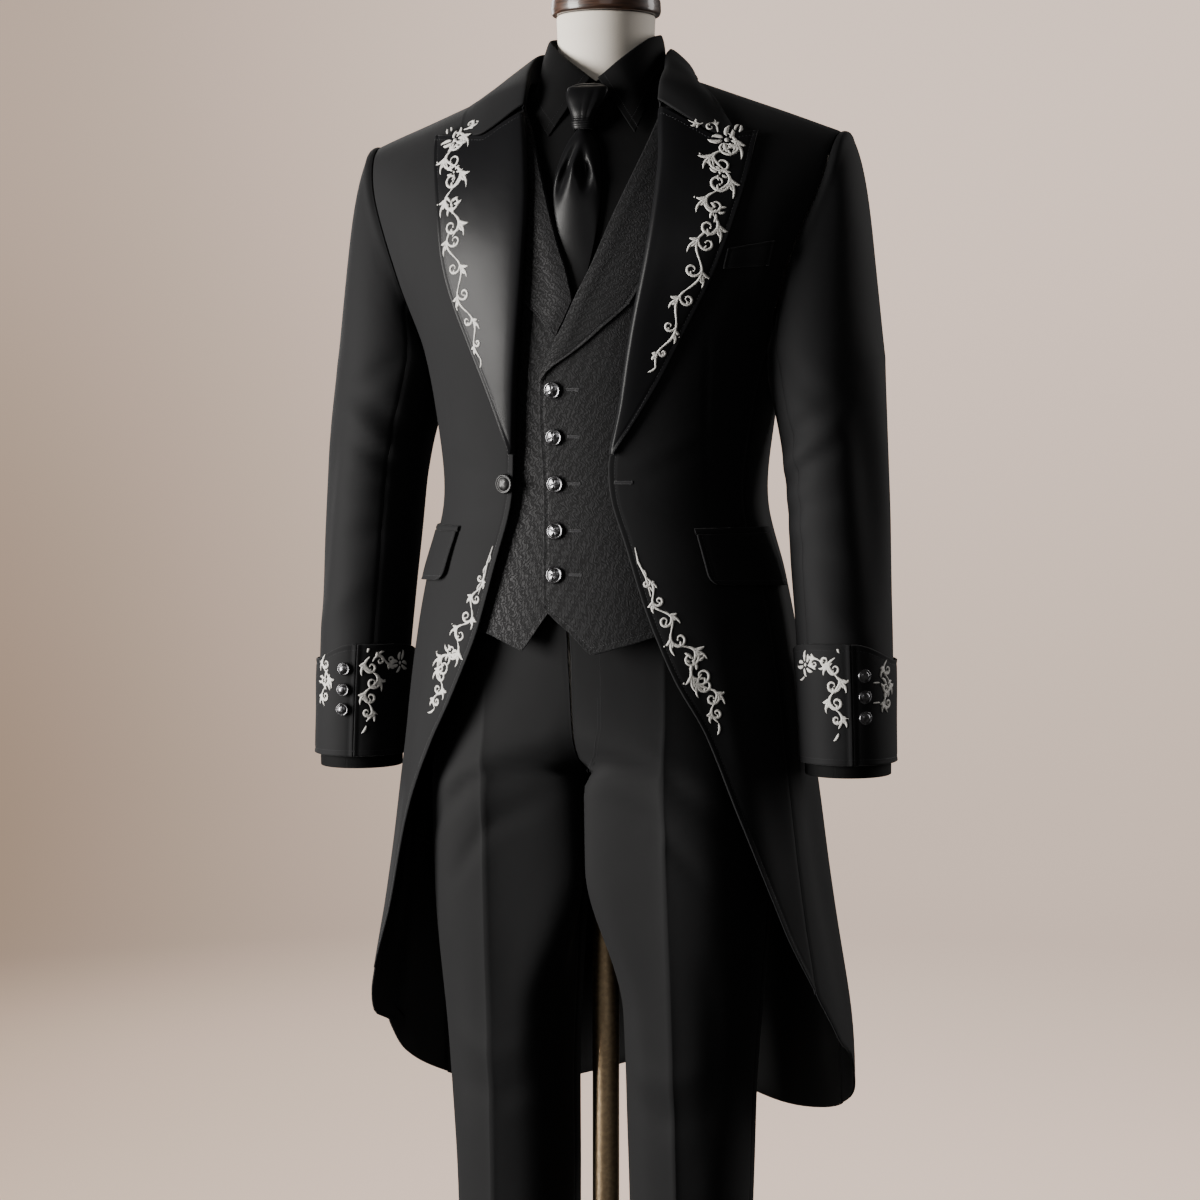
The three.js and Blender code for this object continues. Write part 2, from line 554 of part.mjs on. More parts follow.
// Waistcoat: the wearer's left front laps over the right one
const lapOver = (angle) => 3.8 * (1 - smoothstep(angle, 12, 52));
const WAISTCOAT_ROWS = [1046, 1070, 1100, 1150, 1190, 1230, 1264, 1280, 1296, 1314, 1337, 1370, 1405, 1450,
  ...TOP_ROWS];
function waistcoat() {
  for (const [tag, side] of sides) {
    const edge = (z) => along(WAISTCOAT_EDGE[tag], z)[0] * side;
    const raise = tag === 'L' ? lapOver : () => 0;
    panel(`waistcoat_front_${tag}`, 'brocade', 'waistcoat', {
      rows: WAISTCOAT_ROWS,
      cols: 8,
      left: edge,
      right: (z) => straight(WAISTCOAT_ARMHOLE, z),
      hem: (angle) => straight(WAISTCOAT_HEM[tag], angle),
    }, side, raise);
    const { off, t, lift } = LAYERS.waistcoat;
    const bottom = WAISTCOAT_LAPEL[tag][0][0];
    const between = WAISTCOAT_ROWS.filter((z) => z > bottom + 3 && z < SHOULDER_Z);
    const grid = (out) => panelGrid({
      rows: [bottom, ...between],
      cols: 3,
      left: (z) => {
        const underLeft = tag === 'L' ? -Infinity : 0.5 - along(WAISTCOAT_EDGE.L, z)[0];
        return Math.max(edge(z) + 0.1, underLeft);
      },
      right: (z) => straight(WAISTCOAT_LAPEL[tag], z) * side,
      place: (angle, height) => mirrored(
        onBody(COAT_RINGS, angle, height, off + t + 1.4 + out + raise(angle), lift + t + 0.5 + out), side),
    });
    piece(`waistcoat_lapel_${tag}`, 'brocade', wall(grid(1.1), grid(0)));
  }
  panel('waistcoat_back', 'satin', 'waistcoat', {
    rows: [1040, 1086, 1124, 1150, 1190, 1230, 1262, 1282, ARM_Z, 1350, 1405, 1450, ...TOP_ROWS],
    cols: 14,
    left: (z) => 180 - straight(WAISTCOAT_ARMHOLE, z) + 0.1,
    right: (z) => 180 + straight(WAISTCOAT_ARMHOLE, z) - 0.1,
    crown: backNeck,
    crownSpan: 110,
  });
}

// A domed button turned to face along a direction
function button(name, finish, centre, facing, radius, height) {
  const profile = [[0, 0], [radius * 0.8, 0], [radius, height * 0.45], [radius * 0.82, height * 0.8],
    [0, height]].map(([r, h]) => new THREE.Vector2(r, h));
  const dome = new THREE.LatheGeometry(profile, BUTTON_SIDES);
  dome.deleteAttribute('normal');
  dome.deleteAttribute('uv');
  const mesh = piece(name, finish, mergeVertices(dome, 1e-4));
  mesh.position.copy(centre);
  mesh.quaternion.setFromUnitVectors(vec(0, 1, 0), facing);
}

// Outward direction of the figure at a point, and the point itself
function seatOnBody(angle, height, off, side = 1) {
  const at = (a, z) => mirrored(onBody(COAT_RINGS, a, z, off, 0), side);
  const across = at(angle + 2, height).sub(at(angle - 2, height));
  const upward = at(angle, height + 5).sub(at(angle, height - 5));
  const facing = across.cross(upward).multiplyScalar(side).normalize();
  if (facing.y > 0) facing.negate();
  return { centre: at(angle, height), facing };
}

// Columns: angle, height
const WAISTCOAT_BUTTONS = [[-2.2, 1258], [-2.4, 1213], [-2.5, 1168], [-2.2, 1123], [-1.8, 1081]];
const CUFF_BUTTONS = { L: [987, 967, 947], R: [980, 959, 939] };
const CUFF_BUTTON_TURN = 14;
function buttons() {
  const { off, t } = LAYERS.waistcoat;
  WAISTCOAT_BUTTONS.forEach(([angle, height], i) => {
    const { centre, facing } = seatOnBody(angle, height, off + t + lapOver(angle) + 0.4);
    button(`waistcoat_button_${i + 1}`, 'button_metal', centre, facing, 8.3, 4);
  });
  const { centre, facing } = seatOnBody(19.2, 1168, COAT_T + 0.6, -1);
  button('coat_button', 'button_horn', centre, facing, 9.5, 5);
  for (const [tag, side] of sides) {
    CUFF_BUTTONS[tag].forEach((height, i) => {
      const turn = CUFF_SLIT[tag] + CUFF_BUTTON_TURN;
      const at = (around, z) => mirrored(sleeveRing(around, z, 5.3), side);
      const across = at(turn + 3, height).sub(at(turn - 3, height));
      const upward = at(turn, height + 5).sub(at(turn, height - 5));
      const away = across.cross(upward).multiplyScalar(side).normalize();
      button(`coat_cuff_button_${tag}_${i + 1}`, 'button_metal', at(turn, height), away, 6.9, 4.6);
    });
  }
}

// Shirt body, under the waistcoat
const SHIRT_HEM_Z = 1096;
const SHIRT_NECK = [[SHIRT_HEM_Z, 0.15], [1503, 0.15], [1520, 5.5], [1533, 9.5], [SHOULDER_Z, 12]];
function shirt() {
  const rows = [SHIRT_HEM_Z, 1124, 1150, 1190, 1230, ARM_Z, 1350, 1405, 1450, ...TOP_ROWS];
  const armhole = (z) => (z > ARM_Z ? armholeAngle(z) : 90);
  for (const [tag, side] of sides) {
    panel(`shirt_front_${tag}`, 'shirt_cotton', 'shirt', {
      rows,
      cols: 5,
      left: (z) => straight(SHIRT_NECK, z),
      right: (z) => armhole(z) - 0.1,
    }, side);
  }
  panel('shirt_back', 'shirt_cotton', 'shirt', {
    rows,
    cols: 12,
    left: (z) => 180 - armhole(z) + 0.1,
    right: (z) => 180 + armhole(z) - 0.1,
    crown: backNeck,
    crownSpan: 110,
  });
}

// Columns: place round the neck from front to back, x, y, z of the fold, then of the lower edge
const SHIRT_POINT = { L: [0, 3.5, -61, 1561, 50, -88.5, 1504], R: [0, 3.5, -61, 1561, 37, -88.5, 1503] };
const SHIRT_LEAF = [
  [0.15, 25, -55, 1578, 56, -69, 1529],
  [0.4, 49, -25, 1600, 60, -30, 1562],
  [0.6, 54.5, 4, 1608, 58, 5, 1575],
  [0.8, 39, 38, 1611, 43, 41, 1580],
  [1, 0, 54.5, 1613, 0, 58.5, 1582],
];
// Columns: place round the neck, x, y, height of the stand's top and of its foot
const SHIRT_STAND = [
  [0, 3, -56.5, 1558, 1551],
  [0.15, 23, -51, 1573, 1556],
  [0.4, 46, -24, 1594, 1567],
  [0.6, 52, 4, 1603, 1573],
  [0.8, 37.5, 37.5, 1606, 1570],
  [1, 0, 52.5, 1608, 1565],
];
const COLLAR_SHIFT = 9;    // the shirt collar's front sits this far to the wearer's left
function shirtCollar() {
  const stations = steps(0, 1, 9);
  const shifted = (p, side, u) => {
    p.x = p.x * side + COLLAR_SHIFT * (1 - smoothstep(u, 0, 0.5));
    return p;
  };
  const leaf = (tag, side, out) => stations.map((u) => {
    const [x, y, z, lowX, lowY, lowZ] = along([SHIRT_POINT[tag], ...SHIRT_LEAF], u);
    const top = vec(x, y, z);
    const low = vec(lowX, lowY, lowZ);
    const away = vec(x + lowX, y + lowY, 0).normalize();
    return [0, 0.5, 1].map((t) => shifted(top.clone().lerp(low, t)
      .addScaledVector(away, out + Math.sin(Math.PI * t)).add(vec(0.2, 0, 0)), side, u));
  });
  for (const [tag, side] of sides) {
    piece(`shirt_collar_${tag}`, 'shirt_cotton', wall(leaf(tag, side, 1.2), leaf(tag, side, 0)));
  }
  const standRow = (side, u, out) => {
    const [x, y, top, foot] = along(SHIRT_STAND, u);
    const away = vec(x, y, 0).normalize();
    return [top, foot].map((height) => shifted(vec(x, y, height).addScaledVector(away, out), side, u));
  };
  const standGrid = (out) => [
    ...stations.map((u) => standRow(1, u, out)),
    ...[...stations].reverse().slice(1).map((u) => standRow(-1, u, out)),
  ];
  piece('shirt_collar_stand', 'shirt_cotton', wall(standGrid(0), standGrid(-1.2)));
}

// Columns: height, left x, right x, how far the middle stands out
const CRAVAT_BLADE = [
  [1352, 5, 20, 0.5],
  [1385, -4, 28, 1],
  [1412, -10, 33, 4],
  [1440, -14, 35, 8],
  [1465, -14, 33, 11],
  [1490, -8, 27, 12],
  [1508, 1, 17, 10],
];
const KNOT_X = 9;
function cravat() {
  const ring = ([z, y, half, depth]) => steps(0, 360, 14).slice(0, -1).map((turn) => {
    const a = THREE.MathUtils.degToRad(turn);
    return vec(KNOT_X + half * power(Math.sin(a)), y - depth * power(Math.cos(a)), z);
  });
  piece('cravat_knot', 'satin', loft([
    [1550, -80, 17, 5],
    [1545, -82, 20, 8.5],
    [1532, -87, 17, 9.5],
    [1518, -92, 10.5, 8],
    [1508.3, -94.5, 8.5, 6],
  ].map(ring)));
  const under = LAYERS.shirt.off + LAYERS.shirt.t + LIE;
  const point = (z, s, outer) => {
    const [left, right, stand] = along(CRAVAT_BLADE, z);
    const x = lerp(left, right, s);
    const bulge = outer ? 2.6 + stand * Math.sin(Math.PI * s) ** 0.7 : 0;
    return vec(x, frontOfBody(x, z, under) - bulge, z);
  };
  const heights = [1352, 1385, 1412, 1440, 1465, 1490, 1508];
  const grid = (outer) => heights.map((z) => steps(0, 1, 8).map((s) => point(z, s, outer)));
  piece('cravat_blade', 'satin', wall(grid(true), grid(false)));
}

// Trousers: two fronts, two backs and a waistband in two halves
const POLE_CLEARANCE = 17;
const CENTRE_GAP = 0.3;
const TROUSER_T = 1.6;
const THIGH_MEET_X = 3;
// Where the pressed crease runs, as a turn from the front, or from the back for the back crease
function creaseTurn(height) {
  const [cx, , rx] = along(TROUSER_RINGS, height);
  const share = (along(TROUSER_CREASE_X, height)[0] - cx) / rx;
  return THREE.MathUtils.radToDeg(Math.asin(Math.sign(share) * Math.abs(share) ** (SQUARENESS / 2)));
}
// The fullness of the inner thighs, which closes over the pole in front
function thighFullness(turn, height) {
  const around = smoothstep(turn, -84, -58) * (1 - smoothstep(turn, -46, -6));
  return around * smoothstep(height, 640, 790) * (1 - smoothstep(height, 868, 905));
}
function trouserPoint(turn, height, out) {
  const [cx, cy, rx, ry, crease] = along(TROUSER_RINGS, height);
  const a = THREE.MathUtils.degToRad(turn);
  const fromCrease = (Math.abs(turn) < 90 ? turn : 180 - turn) - creaseTurn(height);
  const peak = crease * Math.exp(-((fromCrease / 9) ** 2));
  let x = Math.max(cx + (rx + out) * power(Math.sin(a)), CENTRE_GAP);
  const meet = THIGH_MEET_X + TROUSER_T - out;
  if (x > meet) x = lerp(x, meet, thighFullness(turn, height));
  return vec(x, cy - (ry + out + peak) * power(Math.cos(a)), height);
}
// The inner end of a row: the inseam, or the centre seam above the fork
function innerTurn(height, back) {
  const [seam, outseam] = back ? [270, 90] : [-90, 90];
  const clearOfPole = (turn) => {
    const p = trouserPoint(turn, height, TROUSER_T);
    return p.x > CENTRE_GAP && Math.hypot(p.x, p.y) >= POLE_CLEARANCE;
  };
  if (clearOfPole(seam)) return seam;
  let [bad, good] = [seam, outseam];
  for (let i = 0; i < 40; i += 1) {
    const middle = (bad + good) / 2;
    if (clearOfPole(middle)) good = middle;
    else bad = middle;
  }
  return good;
}
function trousers() {
  const heights = [TROUSER_HEM_Z, 260, 455, 590, 680, 752, 815, 850, 868, 880, 892, 905, 920, 940, 968,
    1000, 1040, WAISTBAND_Z - 0.6];
  const band = [WAISTBAND_Z, WAIST_TOP_Z];
  for (const [tag, side] of sides) {
    for (const [part, back] of [['front', false], ['back', true]]) {
      const grid = (out) => heights.map((z) => {
        const inner = innerTurn(z, back);
        const seam = back ? -0.25 : 0.25;
        const outer = back ? 90.15 : 89.85;
        const crease = back ? 180 - creaseTurn(z) : creaseTurn(z);
        const turns = [...steps(inner + seam, crease, 3), ...steps(crease, outer, 3).slice(1)];
        return turns.map((turn) => mirrored(trouserPoint(turn, z, out), side));
      });
      piece(`trouser_${part}_${tag}`, 'trouser_cloth', wall(grid(TROUSER_T), grid(0)));
    }
    const bandRow = (z, out) => steps(0.3, 179.7, 9).map((turn) => mirrored(trouserPoint(turn, z, out), side));
    const bandGrid = (out) => band.map((z) => bandRow(z, out));
    piece(`trouser_waistband_${tag}`, 'trouser_cloth', wall(bandGrid(1.8), bandGrid(0)));
  }
}

// The dress form: one torso with its neck, a wooden cap, the pole and the round base
const BASE_R = 190;
const BASE_T = 22;
const POLE_R = 13.5;
const FORM_NECK_R = 47.5;
const NECK_TOP_Z = 1628;
const TORSO_FOOT_Z = 905;
// Columns: height, how far out the arm's end cap lies
const ARM_CAP = [[905, 300], [1290, 300], [1300, 160], [1340, 170], [1380, 186], [1430, 203], [1480, 219],
  [1540, 227]];
function lathe(profile, segments) {
  const geometry = new THREE.LatheGeometry(profile.map(([r, h]) => new THREE.Vector2(r, h)), segments);
  geometry.deleteAttribute('normal');
  geometry.deleteAttribute('uv');
  return mergeVertices(geometry.rotateX(Math.PI / 2), 1e-4);
}
function asManifold(geometry) {
  return new wasm.Manifold(new wasm.Mesh({
    numProp: 3,
    vertProperties: Float32Array.from(geometry.attributes.position.array),
    triVerts: Uint32Array.from(geometry.index.array),
  }));
}
function fromManifold(manifold) {
  const mesh = manifold.getMesh();
  const geometry = new THREE.BufferGeometry();
  geometry.setAttribute('position', new THREE.BufferAttribute(mesh.vertProperties, 3));
  geometry.setIndex([...mesh.triVerts]);
  return geometry;
}
function dressForm() {
  const socket = BASE_T + 10;
  piece('form_base', 'painted_base', lathe([[0, 0], [BASE_R - 3, 0], [BASE_R, 3], [BASE_R, 10],
    [BASE_R - 14, 16], [40, BASE_T], [30, socket], [0, socket]], 24));
  const poleFoot = socket + 0.3;
  const poleTop = TORSO_FOOT_Z - 0.3;
  piece('form_pole', 'brass', lathe([[0, poleFoot], [POLE_R, poleFoot], [POLE_R, poleTop], [0, poleTop]], 20));
  const rows = [TORSO_FOOT_Z, 918, 950, 1000, 1060, 1120, 1150, 1190, 1230, ARM_Z, 1350, 1405, 1450, ...TOP_ROWS];
  const torso = loft(rows.map((z) => steps(0, 360, 24).slice(0, -1).map((angle) => {
    const p = onBody(FORM_RINGS, angle, z, 0, 0);
    const cap = straight(ARM_CAP, z);
    return vec(clamp(p.x, -cap, cap), p.y, p.z);
  })));
  const neck = lathe([[0, 1450], [FORM_NECK_R, 1450], [FORM_NECK_R + 1, 1560], [FORM_NECK_R, 1590],
    [FORM_NECK_R + 1.5, NECK_TOP_Z], [0, NECK_TOP_Z]], 24);
  piece('form_torso', 'form_linen', fromManifold(asManifold(torso).add(asManifold(neck))));
  const cap = NECK_TOP_Z + 0.3;
  piece('form_neck_cap', 'dark_wood', lathe([[0, cap], [53, cap], [54.5, cap + 4], [54, cap + 15],
    [50, cap + 19], [46, cap + 24], [30, cap + 40], [0, cap + 48]], 20));
}

coatBody();
coatLapels();
coatCollar();
sleeves();
coatCuffs();
pockets();
waistcoat();
buttons();
shirt();
shirtCollar();
cravat();
trousers();
dressForm();

export default suit;
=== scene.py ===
# %% [markdown]
# # A tailcoat suit on a dress form
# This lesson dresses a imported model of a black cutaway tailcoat, with its waistcoat, shirt, cravat and
# trousers, on a cream form with a pole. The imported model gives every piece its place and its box. Here each
# cloth piece is woven again from the same few tables, with fine rows, turned edges, creases, seams and
# thread.

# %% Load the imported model
import math

import bmesh
import bpy
import numpy as np
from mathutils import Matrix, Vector


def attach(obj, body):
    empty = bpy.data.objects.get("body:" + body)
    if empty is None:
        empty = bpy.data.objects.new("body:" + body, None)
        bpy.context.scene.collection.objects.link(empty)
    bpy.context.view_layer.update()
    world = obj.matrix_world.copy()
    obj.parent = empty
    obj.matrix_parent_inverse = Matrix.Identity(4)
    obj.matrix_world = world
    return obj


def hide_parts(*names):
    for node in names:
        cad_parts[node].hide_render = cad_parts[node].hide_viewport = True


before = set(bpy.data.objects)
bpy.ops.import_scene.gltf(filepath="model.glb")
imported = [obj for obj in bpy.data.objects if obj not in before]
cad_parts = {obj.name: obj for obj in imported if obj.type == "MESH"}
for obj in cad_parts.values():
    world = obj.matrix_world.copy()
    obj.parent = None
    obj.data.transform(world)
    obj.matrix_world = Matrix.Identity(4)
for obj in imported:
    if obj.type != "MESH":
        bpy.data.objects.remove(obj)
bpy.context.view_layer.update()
MM = 0.001
SIDES = (("L", 1), ("R", -1))

# %% [markdown]
# ## The camera and the studio
# The photo was taken from a little to the wearer's left, at chest height and from about three metres, with a
# long lens that keeps the figure's proportions. The camera comes first, because every later step is compared
# through it. The studio is a pale bowl, floor and wall in one, which glows with its own light; its colour is
# painted light and shade, brighter towards one side and upwards and browner towards the other side and the
# floor. It is seen by the camera alone, so that the black cloth is lit only by soft lamps and stays deep in
# the shadows.

# %% Camera
VIEW_AZIMUTH = math.radians(19)
AIM = Vector((0, 0, 1.05)) + Vector((math.cos(VIEW_AZIMUTH), math.sin(VIEW_AZIMUTH), 0)) * -0.006
CAMERA_BACK = 2.833
CAMERA_UP = 0.170
eye = AIM + Vector((math.sin(VIEW_AZIMUTH) * CAMERA_BACK, -math.cos(VIEW_AZIMUTH) * CAMERA_BACK, CAMERA_UP))
camera_data = bpy.data.cameras.new("camera")
camera_data.lens = 85
camera_data.sensor_width = 36
camera = bpy.data.objects.new("camera", camera_data)
bpy.context.collection.objects.link(camera)
camera.location = eye
camera.rotation_euler = (AIM - eye).to_track_quat("-Z", "Y").to_euler()
bpy.context.scene.camera = camera


# %% A socket that does arithmetic, and a material that grows node by node
class Value:
    """A node's output. Arithmetic on it adds Math nodes."""

    def __init__(self, paint, socket):
        self.paint = paint
        self.socket = socket

    def _math(self, operation, first, second=None):
        inputs = {0: first} if second is None else {0: first, 1: second}
        return self.paint.add("Math", inputs, {"operation": operation})

    def __add__(self, other):
        return self._math("ADD", self, other)

    __radd__ = __add__

    def __sub__(self, other):
        return self._math("SUBTRACT", self, other)

    def __rsub__(self, other):
        return self._math("SUBTRACT", other, self)

    def __mul__(self, other):
        return self._math("MULTIPLY", self, other)

    __rmul__ = __mul__

    def sine(self):
        return self._math("SINE", self)

    def absolute(self):
        return self._math("ABSOLUTE", self)

    def step(self, low, high):
        """0 below low and 1 above high, with a smooth rise between them."""
        inputs = {"Value": self, "From Min": low, "From Max": high}
        return self.paint.add("MapRange", inputs, {"interpolation_type": "SMOOTHSTEP"})


class Paint:
    """A Principled material that is built in a few expressions."""

    def __init__(self, name, **fixed):
        self.material = bpy.data.materials.new(name)
        self.material.use_nodes = True
        self.tree = self.material.node_tree
        self.tree.nodes.clear()
        self.shader = self.tree.nodes.new("ShaderNodeBsdfPrincipled")
        end = self.tree.nodes.new("ShaderNodeOutputMaterial")
        self.tree.links.new(self.shader.outputs[0], end.inputs[0])
        for key, value in fixed.items():
            self.set(key.replace("_", " "), value)

    def set(self, name, value):
        socket = self.shader.inputs[name]
        if isinstance(value, Value):
            self.tree.links.new(value.socket, socket)
        else:
            socket.default_value = value

    def add(self, kind, inputs=None, settings=None, output=0):
        node = self.tree.nodes.new("ShaderNode" + kind)
        for key, value in (settings or {}).items():
            setattr(node, key, value)
        for key, value in (inputs or {}).items():
            if isinstance(value, Value):
                self.tree.links.new(value.socket, node.inputs[key])
            else:
                node.inputs[key].default_value = value
        return Value(self, node.outputs[output])

    def uv(self, scale=(1, 1, 1)):
        place = self.add("TexCoord", output="UV")
        return self.add("VectorMath", {0: place, 1: scale}, {"operation": "MULTIPLY"})

    def space(self, scale=(1, 1, 1)):
        place = self.add("TexCoord", output="Object")
        return self.add("VectorMath", {0: place, 1: scale}, {"operation": "MULTIPLY"})

    def axes(self, vector):
        split = self.tree.nodes.new("ShaderNodeSeparateXYZ")
        self.tree.links.new(vector.socket, split.inputs[0])
        return [Value(self, socket) for socket in split.outputs]

    def noise(self, vector, scale, detail=2.0, rough=0.5):
        inputs = {"Vector": vector, "Scale": scale, "Detail": detail, "Roughness": rough}
        return self.add("TexNoise", inputs)

    def mix(self, share, low, high):
        inputs = {0: share, 6: (*low, 1), 7: (*high, 1)}
        return self.add("Mix", inputs, {"data_type": "RGBA"}, output=2)

    def bump(self, height, distance, strength=1.0, under=None):
        inputs = {"Height": height, "Distance": distance, "Strength": strength}
        if under is not None:
            inputs["Normal"] = under
        normal = self.add("Bump", inputs)
        self.set("Normal", normal)
        return normal


# %% Studio bowl and lamps
BOWL_RADIUS = 6.0
BOWL_COVE = 2.0
BOWL_WALL = 4.2


def studio_bowl():
    cove = [(BOWL_RADIUS - BOWL_COVE * (1 - math.sin(a)), BOWL_COVE * (1 - math.cos(a)))
        for a in np.linspace(0, math.pi / 2, 14)]
    profile = [(0.0, 0.0), (1.2, 0.0), (2.4, 0.0), *cove, (BOWL_RADIUS, BOWL_WALL)]
    turns = 64
    points = [(r * math.cos(2 * math.pi * k / turns), r * math.sin(2 * math.pi * k / turns), z)
        for r, z in profile[1:] for k in range(turns)]
    points.append((0, 0, 0))
    faces = [(len(points) - 1, k, (k + 1) % turns) for k in range(turns)]
    for ring in range(len(profile) - 2):
        for k in range(turns):
            low, high = ring * turns, (ring + 1) * turns
            faces.append((low + k, high + k, high + (k + 1) % turns, low + (k + 1) % turns))
    mesh = bpy.data.meshes.new("studio_bowl")
    mesh.from_pydata(points, [], faces)
    mesh.polygons.foreach_set("use_smooth", [True] * len(mesh.polygons))
    bowl = bpy.data.objects.new("studio_bowl", mesh)
    bpy.context.collection.objects.link(bowl)
    paint = Paint("studio_wall_painted_light", Roughness=0.95, Specular_IOR_Level=0.1)
    cloudy = paint.noise(paint.space((1, 1, 1)), 0.4, 2.0)
    x, y, z = paint.axes(paint.space())
    # Painted light and shade: the wall is brighter towards one side and upwards and browner towards the other
    # side and the floor, with a faint random cloudiness.
    painted_light_and_cloud = (x * 0.95 + y * 0.33).step(-2.2, 0.6) * 0.62 + z.step(-0.2, 2.6) * 0.32 + cloudy * 0.1
    colour = paint.mix(painted_light_and_cloud, (0.26, 0.175, 0.115), (1.0, 0.79, 0.67))
    paint.set("Base Color", colour)
    # Painted light: the bowl glows with its own painted colour, and it is hidden from diffuse and glossy
    # rays, so only the camera sees the glow.
    paint.set("Emission Color", colour)
    paint.set("Emission Strength", 0.86)
    mesh.materials.append(paint.material)
    bowl.visible_glossy = False
    bowl.visible_diffuse = False
    return bowl


def lamp(name, place, aim, size, power, colour=(1, 1, 1)):
    data = bpy.data.lights.new(name, "AREA")
    data.shape = "RECTANGLE"
    data.size, data.size_y = size
    data.energy = power
    data.color = colour
    made = bpy.data.objects.new(name, data)
    bpy.context.collection.objects.link(made)
    made.location = place
    made.rotation_euler = (Vector(aim) - Vector(place)).to_track_quat("-Z", "Y").to_euler()
    return made


studio_bowl()
lamp("window", (-2.7, -1.9, 1.3), (0, 0, 1.0), (1.5, 2.2), 290, (1.0, 0.975, 0.94))
lamp("front_fill", (1.1, -3.4, 2.3), (0, 0, 1.1), (1.6, 1.6), 9, (1.0, 0.99, 0.98))
lamp("back_left", (-2.2, 2.2, 2.2), (0, 0, 1.1), (1.2, 2.4), 34, (1.0, 0.98, 0.96))
lamp("back_right", (2.4, 1.9, 2.0), (0, 0, 1.1), (1.0, 2.4), 44, (1.0, 0.97, 0.95))
world = bpy.data.worlds.new("world")
world.use_nodes = True
world.node_tree.nodes["Background"].inputs[0].default_value = (0.9, 0.86, 0.82, 1)
world.node_tree.nodes["Background"].inputs[1].default_value = 0.07
bpy.context.scene.world = world

# %% [markdown]
# ## Finishes
# Black clothes live by small differences. The coat's wool is matt with a fine twill, the lapel's satin rolls
# from dark to grey, the waistcoat's brocade shows a figure in its weave, and the shirt is plain. Each finish
# reads the piece's own UV map, which is laid in metres along the cloth, so a thread keeps its size
# everywhere. Thread, metal and wood get their own short recipes after the cloths.


# %% Cloth finishes
def twill(paint, pitch):
    """Fine diagonal ribs of a woven cloth, between 0 and 1."""
    u, v, _ = paint.axes(paint.uv())
    ribs = ((u + v) * (2 * math.pi / pitch)).sine() * 0.5 + 0.5
    threads = ((u - v) * (2 * math.pi / (pitch * 0.6))).sine() * 0.5 + 0.5
    return ribs * 0.7 + threads * 0.3


def wool(name, dark, light, sheen=0.06, specular=0.2):
    paint = Paint(name, Roughness=0.78, Specular_IOR_Level=specular, Sheen_Weight=sheen, Sheen_Roughness=0.45)
    cloth = paint.uv()
    nap = paint.noise(cloth, 1300, 3.0, 0.7)
    drift = paint.noise(cloth, 14, 3.0)
    weave = twill(paint, 0.0013)
    paint.set("Base Color", paint.mix(nap * 0.5 + drift * 0.35 + weave * 0.15, dark, light))
    paint.set("Roughness", nap * 0.14 + 0.7)
    fine = paint.bump(weave * 0.5 + nap * 0.5, 0.00016, 0.5)
    paint.bump(drift, 0.0025, 0.25, fine)
    return paint.material


def satin(name, dark, light, roughness=0.34, specular=0.5):
    paint = Paint(name, Specular_IOR_Level=specular, Sheen_Weight=0.06, Sheen_Roughness=0.3)
    cloth = paint.uv()
    slubs = paint.noise(paint.uv((260, 2600, 1)), 1.0, 2.0)
    drift = paint.noise(cloth, 18, 3.0)
    paint.set("Base Color", paint.mix(drift * 0.6 + slubs * 0.4, dark, light))
    paint.set("Roughness", slubs * 0.1 + (roughness - 0.05))
    fine = paint.bump(slubs, 0.00006, 0.45)
    paint.bump(drift, 0.002, 0.22, fine)
    return paint.material


def brocade(name):
    """A figured cloth: a matt ground with lighter scrolls and leaves in a half-drop repeat."""
    paint = Paint(name, Specular_IOR_Level=0.22, Sheen_Weight=0.05, Sheen_Roughness=0.4)
    cloth = paint.uv()
    sway = paint.add("TexNoise", {"Vector": cloth, "Scale": 150.0, "Detail": 2.0}, output=1)
    centred = paint.add("VectorMath", {0: sway, 1: (0.5, 0.5, 0.5)}, {"operation": "SUBTRACT"})
    pushed = paint.add("VectorMath", {0: centred, 1: (0.0075, 0.0075, 0)}, {"operation": "MULTIPLY"})
    bent = paint.add("VectorMath", {0: cloth, 1: pushed}, {"operation": "ADD"})
    u, v, _ = paint.axes(bent)
    turn = 2 * math.pi
    lattice = (u * (turn / 0.0125)).sine() * (v * (turn / 0.017)).sine()
    vines = ((u * (turn / 0.0063) + (v * (turn / 0.0085)).sine() * 1.6).sine() + lattice * 0.9).absolute()
    curls = paint.add("TexVoronoi", {"Vector": bent, "Scale": 400.0}, {"feature": "DISTANCE_TO_EDGE"})
    figure = vines.step(0.62, 0.8) * 0.65 + curls.step(0.05, 0.12) * vines.step(0.2, 0.5) * 0.35
    threads = paint.noise(paint.uv((1, 1, 1)), 1500, 2.0, 0.7)
    fleck = paint.noise(cloth, 420, 4.0, 0.75)
    lit = figure * 0.5 + fleck.step(0.42, 0.68) * 0.32 + threads * 0.18
    paint.set("Base Color", paint.mix(lit, (0.0016, 0.0016, 0.0018), (0.016, 0.016, 0.0177)))
    paint.set("Roughness", 0.74 - figure * 0.26 + threads * 0.06)
    fine = paint.bump(threads, 0.00012, 0.45)
    paint.bump(figure * 0.7 + fleck * 0.3, 0.00045, 0.7, fine)
    return paint.material


